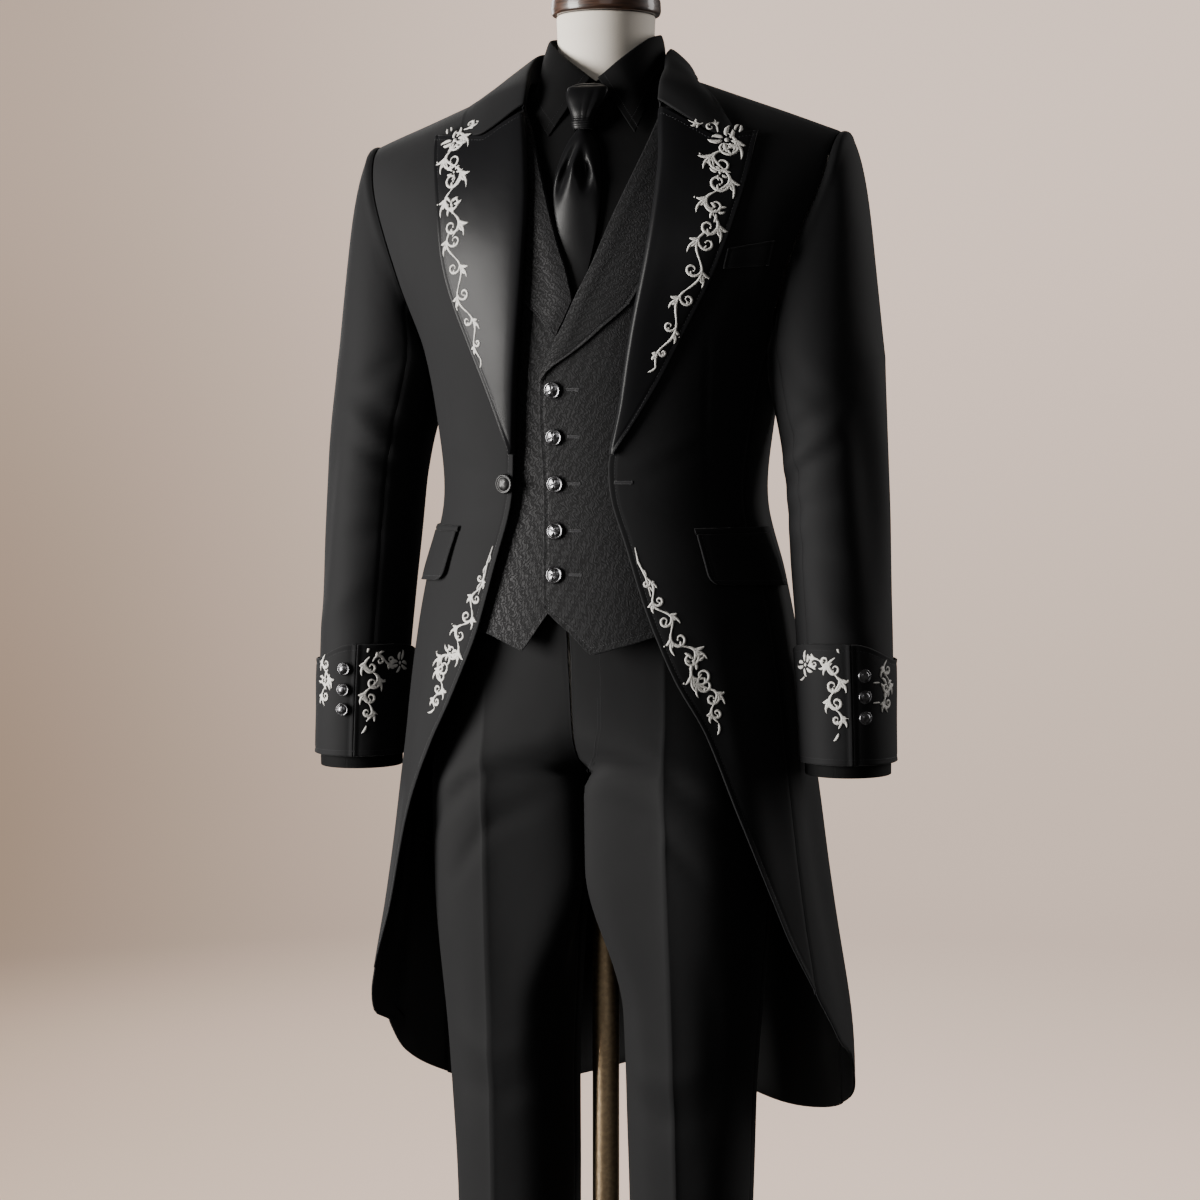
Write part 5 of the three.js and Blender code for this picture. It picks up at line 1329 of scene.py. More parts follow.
def closed_rings(rings):
    """Points, faces and UVs of a solid through rings of points, closed by a fan at each end."""
    count, sides = rings.shape[:2]
    quads, _ = grid_faces(count, sides, True)
    points = rings.reshape(-1, 3)
    faces = [tuple(quad) for quad in quads]
    for ring, flip in ((0, True), (count - 1, False)):
        loop = ring * sides + np.arange(sides)
        points = np.concatenate([points, rings[ring].mean(0)[None]])
        for a, b in zip(loop, np.roll(loop, -1)):
            faces.append((b, a, len(points) - 1) if flip else (a, b, len(points) - 1))
    corners = np.array([face[:3] for face in faces])
    p, q, r = [points[corners[:, k]] for k in range(3)]
    if (p * np.cross(q, r)).sum() < 0:
        faces = [tuple(reversed(face)) for face in faces]
    around = np.broadcast_to(np.linspace(0, 1, sides)[None] * 2 * math.pi * 14, (count, sides))
    up = np.concatenate([[0], np.linalg.norm(np.diff(rings[:, 0], axis=0), axis=-1).cumsum()])
    uv = np.stack([around, np.broadcast_to(up[:, None], around.shape)], -1).reshape(-1, 2) * MM
    uv = np.concatenate([uv, np.zeros((2, 2))])
    return points, faces, uv


knot = knot_section(KNOT_HEIGHTS[:, None], KNOT_TURNS[None])
KNOT_TOP_DIP = np.array([[0.93, 0.6], [0.8, 1.2], [0.6, 1.7], [0.35, 2.0], [0.06, 2.1]])
middle = knot[-1].mean(0)
knot_top = middle + (knot[-1] - middle) * KNOT_TOP_DIP[:, :1, None] + KNOT_TOP_DIP[:, 1:, None] * (0, 0, 1.0)
knot = np.concatenate([knot, knot_top])
cloth_piece("cravat_knot", knot, knot - ring_normals(knot) * KNOT_T, CRAVAT_SATIN, "satin", ring=True,
    held="folded", rests=("cravat_blade",))

# %% Cravat blade, whose folds fan out from the knot
CRAVAT_BLADE = [[1352, 5, 20, 0.5], [1385, -4, 28, 1], [1412, -10, 33, 4], [1440, -14, 35, 8],
    [1465, -14, 33, 11], [1490, -8, 27, 12], [1508, 1, 17, 10]]
CRAVAT_FOLDS = [([[12, -113, 1507], [8, -118, 1478], [5, -117, 1445], [4, -113, 1425], [8, -110, 1395]], 3.6,
    3.4),
    ([[8, -112, 1503], [-1, -117, 1478], [-6, -117, 1450], [-7, -115, 1432]], 5.2, -8.5),
    ([[7, -112, 1507], [-7, -115, 1474], [-15, -110, 1440], [-12, -106, 1420], [2, -110, 1408]], 3.6, 3.6),
    ([[15, -113, 1503], [17, -118, 1478], [19, -117, 1452], [17, -115, 1438]], 5.0, -8.5),
    ([[18, -112, 1505], [27, -116, 1478], [31, -112, 1448], [25, -110, 1428], [8, -112, 1415]], 3.8, 3.6),
    ([[-8, -106, 1422], [-5, -106, 1400], [2, -106, 1370]], 5.0, -3.0),
    ([[11, -113, 1505], [3, -118, 1486], [0, -117, 1464]], 2.2, 1.0),
    ([[19, -113, 1504], [23, -117, 1484], [24, -115, 1462]], 2.2, -1.2),
    ([[0, -112, 1400], [4, -110, 1375], [8, -106, 1358]], 5.0, -1.6)]
CRAVAT_UNDER = LAYERS["shirt"][0] + LAYERS["shirt"][1] + LIE


def blade_grid(heights, shares):
    z, s = np.broadcast_arrays(heights[:, None], shares[None])
    left, right, stand = along(CRAVAT_BLADE, z)
    x = left + (right - left) * s
    y = front_of_body(x, z, CRAVAT_UNDER)
    round_off = np.clip(np.sin(np.pi * s), 0, 1) ** 0.6
    outer = np.stack([x, y - 2.6 - stand * round_off, z], -1)
    inner = np.stack([x, y, z], -1)
    depth = fold_depth(outer, CRAVAT_FOLDS) * round_off * smoothstep(z, 1352, 1380)
    depth = np.maximum(depth, -(stand * round_off) * 0.75)
    outer = outer + np.stack([0 * depth, -depth, 0 * depth], -1)
    return outer, inner


outer, inner = blade_grid(row_heights(1352, 1508, 2.2), eased_ends(64, [0, 0.01, 0.025, 0.045]))
cloth_piece("cravat_blade", outer, inner, CRAVAT_SATIN, "satin", held="folded", rests=("shirt_front_L",))
print("shirt and cravat done", len(SHEETS))

# %% [markdown]
# ## Trousers
# Each leg is a tube with a knife-sharp pressed crease down its front and back. The crease is a narrow ridge
# whose sides fall away in a cusp, so the columns of the grid crowd there. The fork pulls a few slanting
# folds, the knee breaks softly, and the fly is a seam that curves back to the centre at its foot.

# %% Trouser pieces
POLE_CLEARANCE = 17
CENTRE_GAP = 0.3
TROUSER_T = 1.6
THIGH_MEET_X = 3
TROUSER_CREASE_X = [[70, 97], [455, 97], [752, 95], [1000, 92], [1124, 90]]


def crease_turn(height):
    cx, _, rx = along(TROUSER_RINGS, height)[:3]
    share = (along(TROUSER_CREASE_X, height)[0] - cx) / rx
    return np.degrees(np.arcsin(np.sign(share) * np.abs(share) ** (SQUARENESS / 2)))


def thigh_fullness(turn, height):
    """How far the inner thighs close over the pole in front."""
    around = smoothstep(turn, -84, -58) * (1 - smoothstep(turn, -46, -6))
    return around * smoothstep(height, 640, 790) * (1 - smoothstep(height, 868, 905))


def trouser_point(turn, height, out):
    turn, height = np.broadcast_arrays(np.asarray(turn, float), np.asarray(height, float))
    cx, cy, rx, ry, crease = along(TROUSER_RINGS, height)
    from_crease = np.abs(np.where(np.abs(turn) < 90, turn, 180 - turn) - crease_turn(height))
    peak = crease * (0.55 * np.exp(-from_crease / 3.2) + 0.45 * np.exp(-((from_crease / 12) ** 2)))
    a = np.radians(turn)
    x = np.maximum(cx + (rx + out) * power(np.sin(a)), CENTRE_GAP)
    meet = THIGH_MEET_X + TROUSER_T - out
    x = np.where(x > meet, x + (meet - x) * thigh_fullness(turn, height), x)
    return np.stack([x, cy - (ry + out + peak) * power(np.cos(a)), height], -1)


def inner_turn(heights, back):
    """Where a row ends at the inseam, or above the fork at the centre seam, clear of the pole."""
    bad = np.full(heights.shape, 270.0 if back else -90.0)
    good = np.full(heights.shape, 90.0)
    start = bad.copy()

    def clear(turn):
        point = trouser_point(turn, heights, TROUSER_T)
        return (point[..., 0] > CENTRE_GAP) & (np.hypot(point[..., 0], point[..., 1]) >= POLE_CLEARANCE)

    fine = clear(start)
    for _ in range(40):
        middle = (bad + good) / 2
        ok = clear(middle)
        good = np.where(ok, middle, good)
        bad = np.where(ok, bad, middle)
    return np.where(fine, start, good)


LEG_FOLD_GAIN = 1.6


def leg_line(turn, height):
    return trouser_point(turn, height, TROUSER_T)


LEG_FOLDS = {tag: laid_folds(leg_line, rows) for tag, rows in {
    "L": [(9, -2.0, -22, 905, 8, 880, 44, 836), (10, 1.5, -20, 925, 6, 908, 40, 872),
    (9, -1.7, -30, 868, -8, 840, 20, 790), (15, -1.6, -34, 560, -6, 546, 40, 552),
    (13, 1.2, -30, 590, 0, 584, 36, 600), (16, -1.7, 30, 700, 38, 620, 34, 520),
    (18, 1.5, -30, 760, -32, 660, -28, 560), (15, -1.4, -20, 330, 10, 318, 50, 326),
    (20, 1.4, 50, 300, 56, 220, 52, 120), (12, -1.6, 200, 900, 180, 872, 150, 838),
    (10, -1.8, 190, 870, 172, 850, 140, 822), (16, -1.6, 215, 560, 185, 548, 145, 556),
    (14, 1.2, 210, 590, 182, 582, 150, 594), (6, -1.4, 62, 1060, 70, 1010, 74, 960)],
    "R": [(9, -2.2, -20, 900, 10, 872, 46, 824), (11, 1.6, -18, 922, 8, 902, 42, 862),
    (9, -1.6, -28, 862, -6, 832, 22, 776), (14, -1.5, -36, 570, -8, 560, 38, 570),
    (13, 1.3, -30, 604, 0, 600, 38, 618), (17, -1.8, 32, 710, 40, 630, 36, 540),
    (18, 1.6, -32, 770, -30, 670, -26, 580), (14, -1.3, -24, 345, 8, 338, 46, 350),
    (20, 1.5, 48, 310, 54, 230, 50, 130), (12, -1.7, 202, 904, 182, 880, 148, 842),
    (10, -1.6, 192, 876, 174, 858, 142, 826), (16, -1.5, 214, 572, 184, 560, 144, 568),
    (14, 1.3, 210, 604, 180, 596, 148, 610), (6, -1.3, 60, 1058, 68, 1008, 72, 962)],
}.items()}
FLY_LINE = [[31, 1080], [31, 1040], [31, 1000], [30.5, 960], [30, 930], [24, 905], [12, 888], [3, 880]]
FLY = [[x, -113, z] for x, z in FLY_LINE]
SEAM_SHARES = np.array([0, 0.006, 0.016, 0.03, 0.05])
for tag, side in SIDES:
    for part in ("front", "back"):
        back = part == "back"
        heights = row_heights(TROUSER_HEM_Z, WAISTBAND_Z - 0.6, 9)
        inner_end = (inner_turn(heights, back) + (-0.25 if back else 0.25))[:, None]
        outer_end = 90.15 if back else 89.85
        crease = crease_turn(heights)[:, None]
        crease = 180 - crease if back else crease
        towards = np.concatenate([SEAM_SHARES, np.linspace(0.05, 1, 22)[1:] ** 0.7])
        away_from = np.concatenate([np.linspace(0, 0.95, 26)[1:] ** 1.5, 1 - SEAM_SHARES[::-1]])
        turns = np.concatenate([inner_end + (crease - inner_end) * towards,
            crease + (outer_end - crease) * away_from + 0 * inner_end], 1)
        turns = np.sort(turns, 1)[:, ::-1 if back else 1]
        outer, inner = [mirrored(trouser_point(turns, heights[:, None], out), side) for out in (TROUSER_T, 0)]
        depth = LEG_FOLD_GAIN * fold_depth(outer, LEG_FOLDS[tag], side) + ruffle(outer, 110, 0.45, 51)
        depth *= smoothstep(np.abs(outer[..., 0]), 0.5, 30)
        if tag == "L" and not back:
            depth += fold_depth(outer, [(FLY, 1.6, -1.0)]) + fold_depth(outer + (-4, 0, 0), [(FLY, 5, 0.5)])
        depth += edge_relief(outer, ("low",), ("left", "right")) * smoothstep(np.abs(outer[..., 0]), 0, 6)
        outer, inner = shifted(outer, inner, depth)
        outer[..., 0] = np.where(outer[..., 0] * side < CENTRE_GAP, CENTRE_GAP * side, outer[..., 0])
        inner[..., 0] = np.where(inner[..., 0] * side < CENTRE_GAP, CENTRE_GAP * side, inner[..., 0])
        cloth_piece(f"trouser_{part}_{tag}", outer, inner, TROUSER_WOOL, "trouser_cloth")
    band_turns = eased_ends(44, [0.3 / 180, 1.2 / 180, 3 / 180])[None] * 180
    band_heights = np.linspace(WAISTBAND_Z, WAIST_TOP_Z, 12)[:, None]
    outer, inner = [mirrored(trouser_point(band_turns, band_heights, out), side) for out in (1.8, 0)]
    cloth_piece(f"trouser_waistband_{tag}", outer, inner, TROUSER_WOOL, "trouser_cloth", held="stretched")
print("trousers done", len(SHEETS))

# %% [markdown]
# ## Dress form
# The form is a padded torso without limbs under plain knitted jersey, with a turned wood cap on its neck. It
# stands on a brass tube in a round enamelled base. Everything but the torso is turned on a lathe, so one
# helper revolves a profile, and small radii at the edges catch the light.


# %% A turned piece
def rounded(profile, radius=0.8, steps=4):
    """A profile with its corners rounded off, as a list of radius and height."""
    points = np.array(profile, float)
    done = [points[0]]
    for before, corner, after in zip(points, points[1:], points[2:]):
        to_before, to_after = before - corner, after - corner
        reach = min(radius, np.linalg.norm(to_before) * 0.45, np.linalg.norm(to_after) * 0.45)
        start, end = corner + unit(to_before) * reach, corner + unit(to_after) * reach
        for t in np.linspace(0, 1, steps):
            done.append((1 - t) ** 2 * start + 2 * t * (1 - t) * corner + t**2 * end)
    done.append(points[-1])
    return np.array(done)


def turned(profile, sides=96):
    """Rings of a revolved profile, from its foot to its top."""
    a = np.linspace(0, 2 * math.pi, sides + 1)[:-1]
    r, z = profile[:, 0, None], profile[:, 1, None]
    return np.stack(np.broadcast_arrays(r * np.cos(a), r * np.sin(a), z), -1)


def turned_piece(node, profile, material, sides=96):
    points, faces, uv = closed_rings(turned(profile, sides))
    return finish_piece(new_object(node + "_turned", points, faces, uv, [material]), [node])


# %% Torso, cap, pole and base
BASE_R = 190
BASE_T = 22
POLE_R = 13.5
NECK_R = 47.5
NECK_TOP_Z = 1628
ARM_CAP = [[905, 300], [1290, 300], [1300, 160], [1340, 170], [1380, 186], [1430, 203], [1480, 219],
    [1540, 227]]
torso_heights = np.concatenate([[905, 907, 911], np.linspace(918, 1532, 58), [1536, 1540]])
torso_angles = np.linspace(0, 360, 97)[:-1]
torso = on_body(torso_angles[None], torso_heights[:, None], rings=FORM_RINGS)
cap = straight(ARM_CAP, torso_heights)[:, None]
torso[..., 0] = np.clip(torso[..., 0], -cap, cap)
neck = turned(rounded([[0.5, 1450], [NECK_R, 1450], [NECK_R + 1, 1560], [NECK_R, 1590],
    [NECK_R + 1.5, NECK_TOP_Z],
    [0.5, NECK_TOP_Z]], 2.5))
parts = [closed_rings(rings) for rings in (torso, neck)]
points = np.concatenate([part[0] for part in parts])
faces = parts[0][1] + [tuple(index + len(parts[0][0]) for index in face) for face in parts[1][1]]
uv = np.concatenate([part[2] for part in parts])
finish_piece(new_object("form_torso_jersey", points, faces, uv, [FORM_JERSEY]), ["form_torso"])

CAP_FOOT = NECK_TOP_Z + 0.3
turned_piece("form_neck_cap", rounded([[0.5, CAP_FOOT], [53, CAP_FOOT], [54.5, CAP_FOOT + 4],
    [54, CAP_FOOT + 15],
    [50, CAP_FOOT + 19], [46, CAP_FOOT + 24], [30, CAP_FOOT + 40],
    [12, CAP_FOOT + 47], [0.5, CAP_FOOT + 48]], 2.2, 5), CAP_WOOD)
POLE_FOOT = BASE_T + 10.3
POLE_TOP = TORSO_FOOT_Z - 0.3
turned_piece("form_pole", rounded([[0.5, POLE_FOOT], [POLE_R, POLE_FOOT], [POLE_R, 300], [POLE_R - 0.4, 301],
    [POLE_R - 0.4, 303], [POLE_R, 304], [POLE_R, POLE_TOP], [0.5, POLE_TOP]], 0.6),
    POLE_BRASS, 64)
turned_piece("form_base", rounded([[0.5, 0], [BASE_R - 3, 0], [BASE_R, 3], [BASE_R, 10], [BASE_R - 14, 16],
    [40, BASE_T], [30, BASE_T + 10], [0.5, BASE_T + 10]], 3, 5),
    BASE_ENAMEL, 128)
print("dress form done")

# %% [markdown]
# ## Buttons
# The waistcoat and cuff buttons are pressed metal: a rolled rim, a shallow well and a domed middle. The
# waistcoat's have a small rosette pressed into the dome, made by raising the height with the angle. The one
# coat button is black horn with a dish of four lobes, seen almost edge on.


# %% Button shapes
BUTTON_SIDES = 60


def button_rings(radius, height, petals, relief):
    """Rings of a button from its underside over the rim to its middle, in its own frame."""
    profile = np.array([[0.02, 0], [0.7, 0], [0.8, 0.02], [0.95, 0.2], [1, 0.42], [0.985, 0.6], [0.93, 0.72],
        [0.86, 0.74], [0.8, 0.66], [0.76, 0.6], [0.7, 0.64], [0.6, 0.78], [0.48, 0.88],
        [0.36, 0.94], [0.24, 0.98], [0.12, 1.0], [0.02, 1.0]])
    a = np.linspace(0, 2 * math.pi, BUTTON_SIDES + 1)[:-1]
    r, z = profile[:, 0, None], profile[:, 1, None]
    inside = np.exp(-(((r - 0.45) / 0.2) ** 2)) * (z > 0.5)
    z = z + relief * inside * np.cos(petals * a)
    return np.stack(np.broadcast_arrays(r * radius * np.cos(a), r * radius * np.sin(a), z * height), -1)


def place_button(node, centre, facing, radius, height, material, petals=6, relief=0.05):
    facing = unit(facing)
    across = unit(np.cross([0, 0, 1.0], facing))
    upward = np.cross(facing, across)
    rings = button_rings(radius, height, petals, relief) @ np.stack([across, upward, facing]) + centre
    points, faces, uv = closed_rings(rings)
    return finish_piece(new_object(node + "_pressed", points, faces, uv, [material]), [node])


def facing_at(place, u, v):
    """The outward direction of a surface of two numbers."""
    across = place(u + 2, v) - place(u - 2, v)
    upward = place(u, v + 5) - place(u, v - 5)
    return unit(np.cross(across, upward))


WAISTCOAT_BUTTONS = [[-2.2, 1258], [-2.4, 1213], [-2.5, 1168], [-2.2, 1123], [-1.8, 1081]]
for number, (angle, height) in enumerate(WAISTCOAT_BUTTONS, 1):
    off = WAISTCOAT_OFF + WAISTCOAT_T + lap_over(angle) + 0.4
    facing = facing_at(lambda u, v: on_body(u, v, off), angle, height)
    place_button(f"waistcoat_button_{number}", on_body(angle, height, off), facing, 8.3, 4, BUTTON_SILVER)
coat_button = mirrored(on_body(19.2, 1168, COAT_T + 0.6), -1)
facing = mirrored(facing_at(lambda u, v: on_body(u, v, COAT_T + 0.6), 19.2, 1168), -1)
place_button("coat_button", coat_button, facing, 9.5, 5, BUTTON_HORN, 4, -0.04)
CUFF_BUTTONS = {"L": (987, 967, 947), "R": (980, 959, 939)}
CUFF_BUTTON_TURN = 14
for tag, side in SIDES:
    turn = CUFF_SLIT[tag] + CUFF_BUTTON_TURN
    for number, height in enumerate(CUFF_BUTTONS[tag], 1):
        facing = facing_at(lambda u, v: sleeve_ring(u, v, 5.3), turn, height)
        place_button(f"coat_cuff_button_{tag}_{number}", mirrored(sleeve_ring(turn, height, 5.3), side),
            mirrored(facing, side), 6.6, 4.6, BUTTON_SILVER, 5, 0.015)
print("buttons done")

# %% [markdown]
# ## Embroidery
# White satin stitch runs along the lapels, the cutaway edges and the cuffs. Each vine is drawn flat first, as
# one number along the cloth's edge and one inwards from it, and then laid on the cloth's own surface. A vine
# is a stem that swings from side to side, with a scroll curling into each bend, leaves on the outside of the
# bends, and berries. Every stroke is a low rounded ridge of thread that swells and thins like a brush mark.

# %% Surfaces to embroider
def cloth_bed(place, edge_u, edge_v, inwards, centre):
    """Turns millimetres along an edge and inwards from it into points and outward directions on a cloth."""
    edge_u, edge_v = np.asarray(edge_u, float), np.asarray(edge_v, float)
    edge = place(edge_u, edge_v)
    run = np.concatenate([[0], np.linalg.norm(np.diff(edge, axis=0), axis=-1).cumsum()])
    tangent = unit(np.gradient(edge, run, axis=0))
    by_u = place(edge_u + 0.5, edge_v) - place(edge_u - 0.5, edge_v)
    by_v = (place(edge_u, edge_v + 1) - place(edge_u, edge_v - 1)) / 2
    normal = unit(np.cross(by_u, by_v))
    across = unit(np.cross(normal, tangent))
    across = across * np.sign((across * by_u).sum(-1) * inwards)[:, None]
    uu, uv, vv = (by_u * by_u).sum(-1), (by_u * by_v).sum(-1), (by_v * by_v).sum(-1)
    bu, bv = (by_u * across).sum(-1), (by_v * across).sum(-1)
    det = uu * vv - uv * uv
    step_u, step_v = (bu * vv - bv * uv) / det, (bv * uu - bu * uv) / det

    def point(a, d):
        u = np.interp(a, run, edge_u) + d * np.interp(a, run, step_u)
        v = np.interp(a, run, edge_v) + d * np.interp(a, run, step_v)
        return place(u, v)

    def bed(a, d):
        here = point(a, d)
        away = unit(np.cross(point(a + 0.6, d) - point(a - 0.6, d), point(a, d + 0.6) - point(a, d - 0.6)))
        away = away * np.sign((away * (here - centre) * (1, 1, 0)).sum(-1))[..., None]
        return here, away

    return bed


# %% Brush strokes
def curl(start, heading, size, hand, turns=1.25, tight=0.15, count=46):
    """A scroll that leaves start along a heading, in degrees, and winds up to one hand."""
    theta = np.linspace(0, turns * 2 * math.pi, count)
    radius = size * tight ** (theta / theta[-1])
    direction = math.radians(heading) + hand * theta
    step = radius * (theta[1] - theta[0])
    x = np.concatenate([[0], (np.cos(direction) * step)[:-1].cumsum()]) + start[0]
    y = np.concatenate([[0], (np.sin(direction) * step)[:-1].cumsum()]) + start[1]
    return np.stack([x, y], 1)


def brush(line, thick, lean=1.0, thin=0.28):
    """A stroke as its line and half widths. lean moves its widest place towards the start or the end."""
    t = np.linspace(0, 1, len(line)) ** lean
    return np.asarray(line, float), thin + (thick - thin) * np.sin(np.pi * np.clip(t, 0, 1)) ** 0.8


def leaf(start, heading, length, thick, hand=1):
    return brush(curl(start, heading, length * 1.05, hand, 0.17, 0.6, 16), thick, 0.75, 0.2)


def berry(centre, radius):
    t = np.linspace(-1, 1, 7)
    line = np.stack([centre[0] + radius * t, centre[1] + 0 * t], 1)
    return line, radius * np.sqrt(np.clip(1 - (t * 0.98) ** 2, 0.02, 1))


def flower(centre, size, turn, petals=6):
    strokes = [berry(centre, size * 0.16)]
    for k in range(petals):
        heading = turn + 360 * k / petals
        reach = size * (1.0 if k % 2 else 0.78)
        root = (centre[0] + math.cos(math.radians(heading)) * size * 0.26,
            centre[1] + math.sin(math.radians(heading)) * size * 0.26)
        strokes.append(leaf(root, heading - 10, reach, size * 0.15, 1 if k % 2 else -1))
    return strokes


def tip(line):
    """The heading at the end of a line, in degrees."""
    return math.degrees(math.atan2(line[-1][1] - line[-3][1], line[-1][0] - line[-3][0]))


def vine(middle, reach, waves, thick=1.0, first=1):
    """A stem along the points of middle, whose swing and scrolls have the half widths in reach."""
    middle, reach = np.asarray(middle, float), np.asarray(reach, float)
    t = np.linspace(0, 1, 40 * waves)
    knots = np.linspace(0, 1, len(middle))
    spine = np.stack([np.interp(t, knots, middle[:, k]) for k in (0, 1)], 1)
    along_spine = unit(np.gradient(spine, axis=0))
    side = np.stack([-along_spine[:, 1], along_spine[:, 0]], 1)
    half = np.interp(t, knots, reach)
    swing = first * np.sin(math.pi * waves * t)
    stem = spine + side * (half * 0.5 * swing)[:, None]
    strokes = [brush(stem[start:start + 46], thick * 0.95, 1, 0.5) for start in range(0, len(stem) - 12, 40)]
    for k in range(waves):
        bend = first * (1 if k % 2 == 0 else -1)
        root = int(40 * (k + 0.12))
        size = half[min(root + 20, len(half) - 1)]
        ahead = stem[min(root + 2, len(stem) - 1)] - stem[root]
        heading = math.degrees(math.atan2(ahead[1], ahead[0]))
        scroll = curl(stem[root], heading + bend * 12, size * 0.8, -bend, 1.15 + 0.1 * (k % 3), 0.2)
        strokes.append(brush(scroll, thick * 0.95, 0.7))
        strokes.append(berry(scroll[-1], max(0.5, size * 0.075)))
        crest = int(40 * (k + 0.5))
        out = math.degrees(math.atan2(side[crest, 1] * bend, side[crest, 0] * bend))
        length = size * (0.72 + 0.12 * ((k * 2) % 3))
        strokes.append(leaf(stem[crest - 6], out - bend * 48, length, thick * 1.25, bend))
        strokes.append(leaf(stem[crest], out - bend * 82, length * 0.8, thick * 1.0, bend))
        strokes.append(leaf(stem[crest + 4], out + bend * 20, length * 0.55, thick * 0.85, -bend))
        strokes.append(leaf(scroll[14], tip(scroll[:15]) - bend * 58, size * 0.42, thick * 0.9, -bend))
        ahead_leaf = math.degrees(math.atan2(along_spine[crest, 1], along_spine[crest, 0]))
        strokes.append(leaf(stem[crest - 2], ahead_leaf + bend * 46, size * 1.25, thick * 0.95, -bend))
        strokes.append(leaf(stem[crest - 9], ahead_leaf + bend * 24, size * 1.05, thick * 0.7, -bend))
        if k % 2:
            strokes.append(berry(stem[crest] + side[crest] * bend * size * 0.62, max(0.55, size * 0.06)))
    return strokes


# %% From strokes to thread
THREAD_SECTION = np.array([[1, 0], [0.62, 0.72], [0, 1], [-0.62, 0.72], [-1, 0], [0, -0.45]])


def embroider(name, node, bed, strokes):
    """Lays every stroke on its cloth as one closed ridge, and notes it as worked on that sheet."""
    points, faces, uvs = [], [], []
    used = 0
    sides = len(THREAD_SECTION)
    for line, widths in strokes:
        run = np.concatenate([[0], np.linalg.norm(np.diff(line, axis=0), axis=-1).cumsum()])
        count = max(int(run[-1] / 0.9), 4)
        at = np.linspace(0, run[-1], count)
        half = np.interp(at, run, widths)
        here, away = bed(np.interp(at, run, line[:, 0]), np.interp(at, run, line[:, 1]))
        ahead = unit(np.gradient(here, axis=0))
        beside = unit(np.cross(away, ahead))
        half[0] *= 0.35
        half[-1] *= 0.35
        proud = np.minimum(0.25 + 0.45 * half, 0.8)
        ring = (here[:, None] + beside[:, None] * THREAD_SECTION[None, :, :1] * half[:, None, None]
            + away[:, None] * THREAD_SECTION[None, :, 1:] * proud[:, None, None])
        points.append(ring.reshape(-1, 3))
        across = THREAD_SECTION[:, 0] * half[:, None] * MM
        uvs.append(np.stack([np.broadcast_to(at[:, None] * MM, across.shape), across], -1).reshape(-1, 2))
        quads, _ = grid_faces(count, sides, True)
        faces += [tuple(quad + used) for quad in quads]
        faces.append(tuple(used + np.arange(sides)[::-1]))
        faces.append(tuple(used + (count - 1) * sides + np.arange(sides)))
        used += count * sides
    made = new_object(name, np.concatenate(points), faces, np.concatenate(uvs), [IVORY_THREAD])
    tidy = bmesh.new()
    tidy.from_mesh(made.data)
    bmesh.ops.recalc_face_normals(tidy, faces=tidy.faces)
    tidy.to_mesh(made.data)
    tidy.free()
    finish_piece(made)
    SHEETS[node]["with"].append(made)
    return len(made.data.polygons)


# %% Vines on the lapels
def coat_place(tag, side, rise, folds=()):
    """The coat's, or a lapel's, outer surface with its swells."""
    def place(angle, height):
        off = rise(angle, height)
        outer = on_body(angle, height, off, COAT_LIFT + off)
        inner = on_body(angle, height, off - 1, COAT_LIFT + off - 1)
        outer, inner = mirrored(outer, side), mirrored(inner, side)
        swell = coat_relief(outer, tag, side) + fold_depth(outer, folds, side)
        return outer + unit(outer - inner) * swell[..., None]
    return place


LAPEL_VINES = {
    "L": [vine([(12, 26), (44, 24), (84, 21), (122, 18)], [18, 18, 16, 14], 5, 1.55, -1),
    vine([(116, 18), (152, 17), (190, 14), (228, 12), (256, 9)], [14, 13, 11, 9, 5], 5, 1.4, 1),
    vine([(14, 34), (6, 46), (9, 60)], [9, 8, 4], 2, 1.25, 1),
    [*flower((20, 25), 15, 12, 7), *flower((96, 18), 10, 40, 6), *flower((58, 24), 9, 20, 5)],
    [leaf((8, 16), 200, 11, 1.5, -1), leaf((7, 20), 168, 10, 1.3, 1), leaf((254, 9), 2, 12, 1.1, 1)]],
    "R": [vine([(12, 25), (44, 23), (84, 20), (124, 17)], [17, 17, 16, 14], 5, 1.55, 1),
    vine([(116, 17), (152, 16), (188, 14), (222, 12), (250, 9)], [14, 12, 11, 9, 5], 5, 1.4, -1),
    vine([(13, 33), (7, 43), (12, 56)], [9, 8, 4], 2, 1.25, -1),
    [*flower((22, 24), 14.5, -8, 7), *flower((92, 18), 10.5, 25, 6), *flower((60, 23), 9, 5, 5)],
    [leaf((7, 15), 205, 11, 1.5, -1), leaf((6, 19), 172, 10, 1.3, 1), leaf((248, 9), -2, 12, 1.1, -1)]],
}
LAPEL_CENTRE = np.array([0, 60.0, 1300])
for tag, side in SIDES:
    heights = np.linspace(1508, 1216, 120)
    angles = lapel_edge_angle(tag, heights)
    place = coat_place(tag, side, lambda a, z: lapel_rise(tag, a, z) + LAPEL_T, LAPEL_FOLDS)
    bed = cloth_bed(place, angles, heights, -1, LAPEL_CENTRE)
    strokes = [stroke for group in LAPEL_VINES[tag] for stroke in group]
    print("lapel", tag, embroider(f"embroidery_lapel_{tag}", f"coat_lapel_{tag}", bed, strokes))

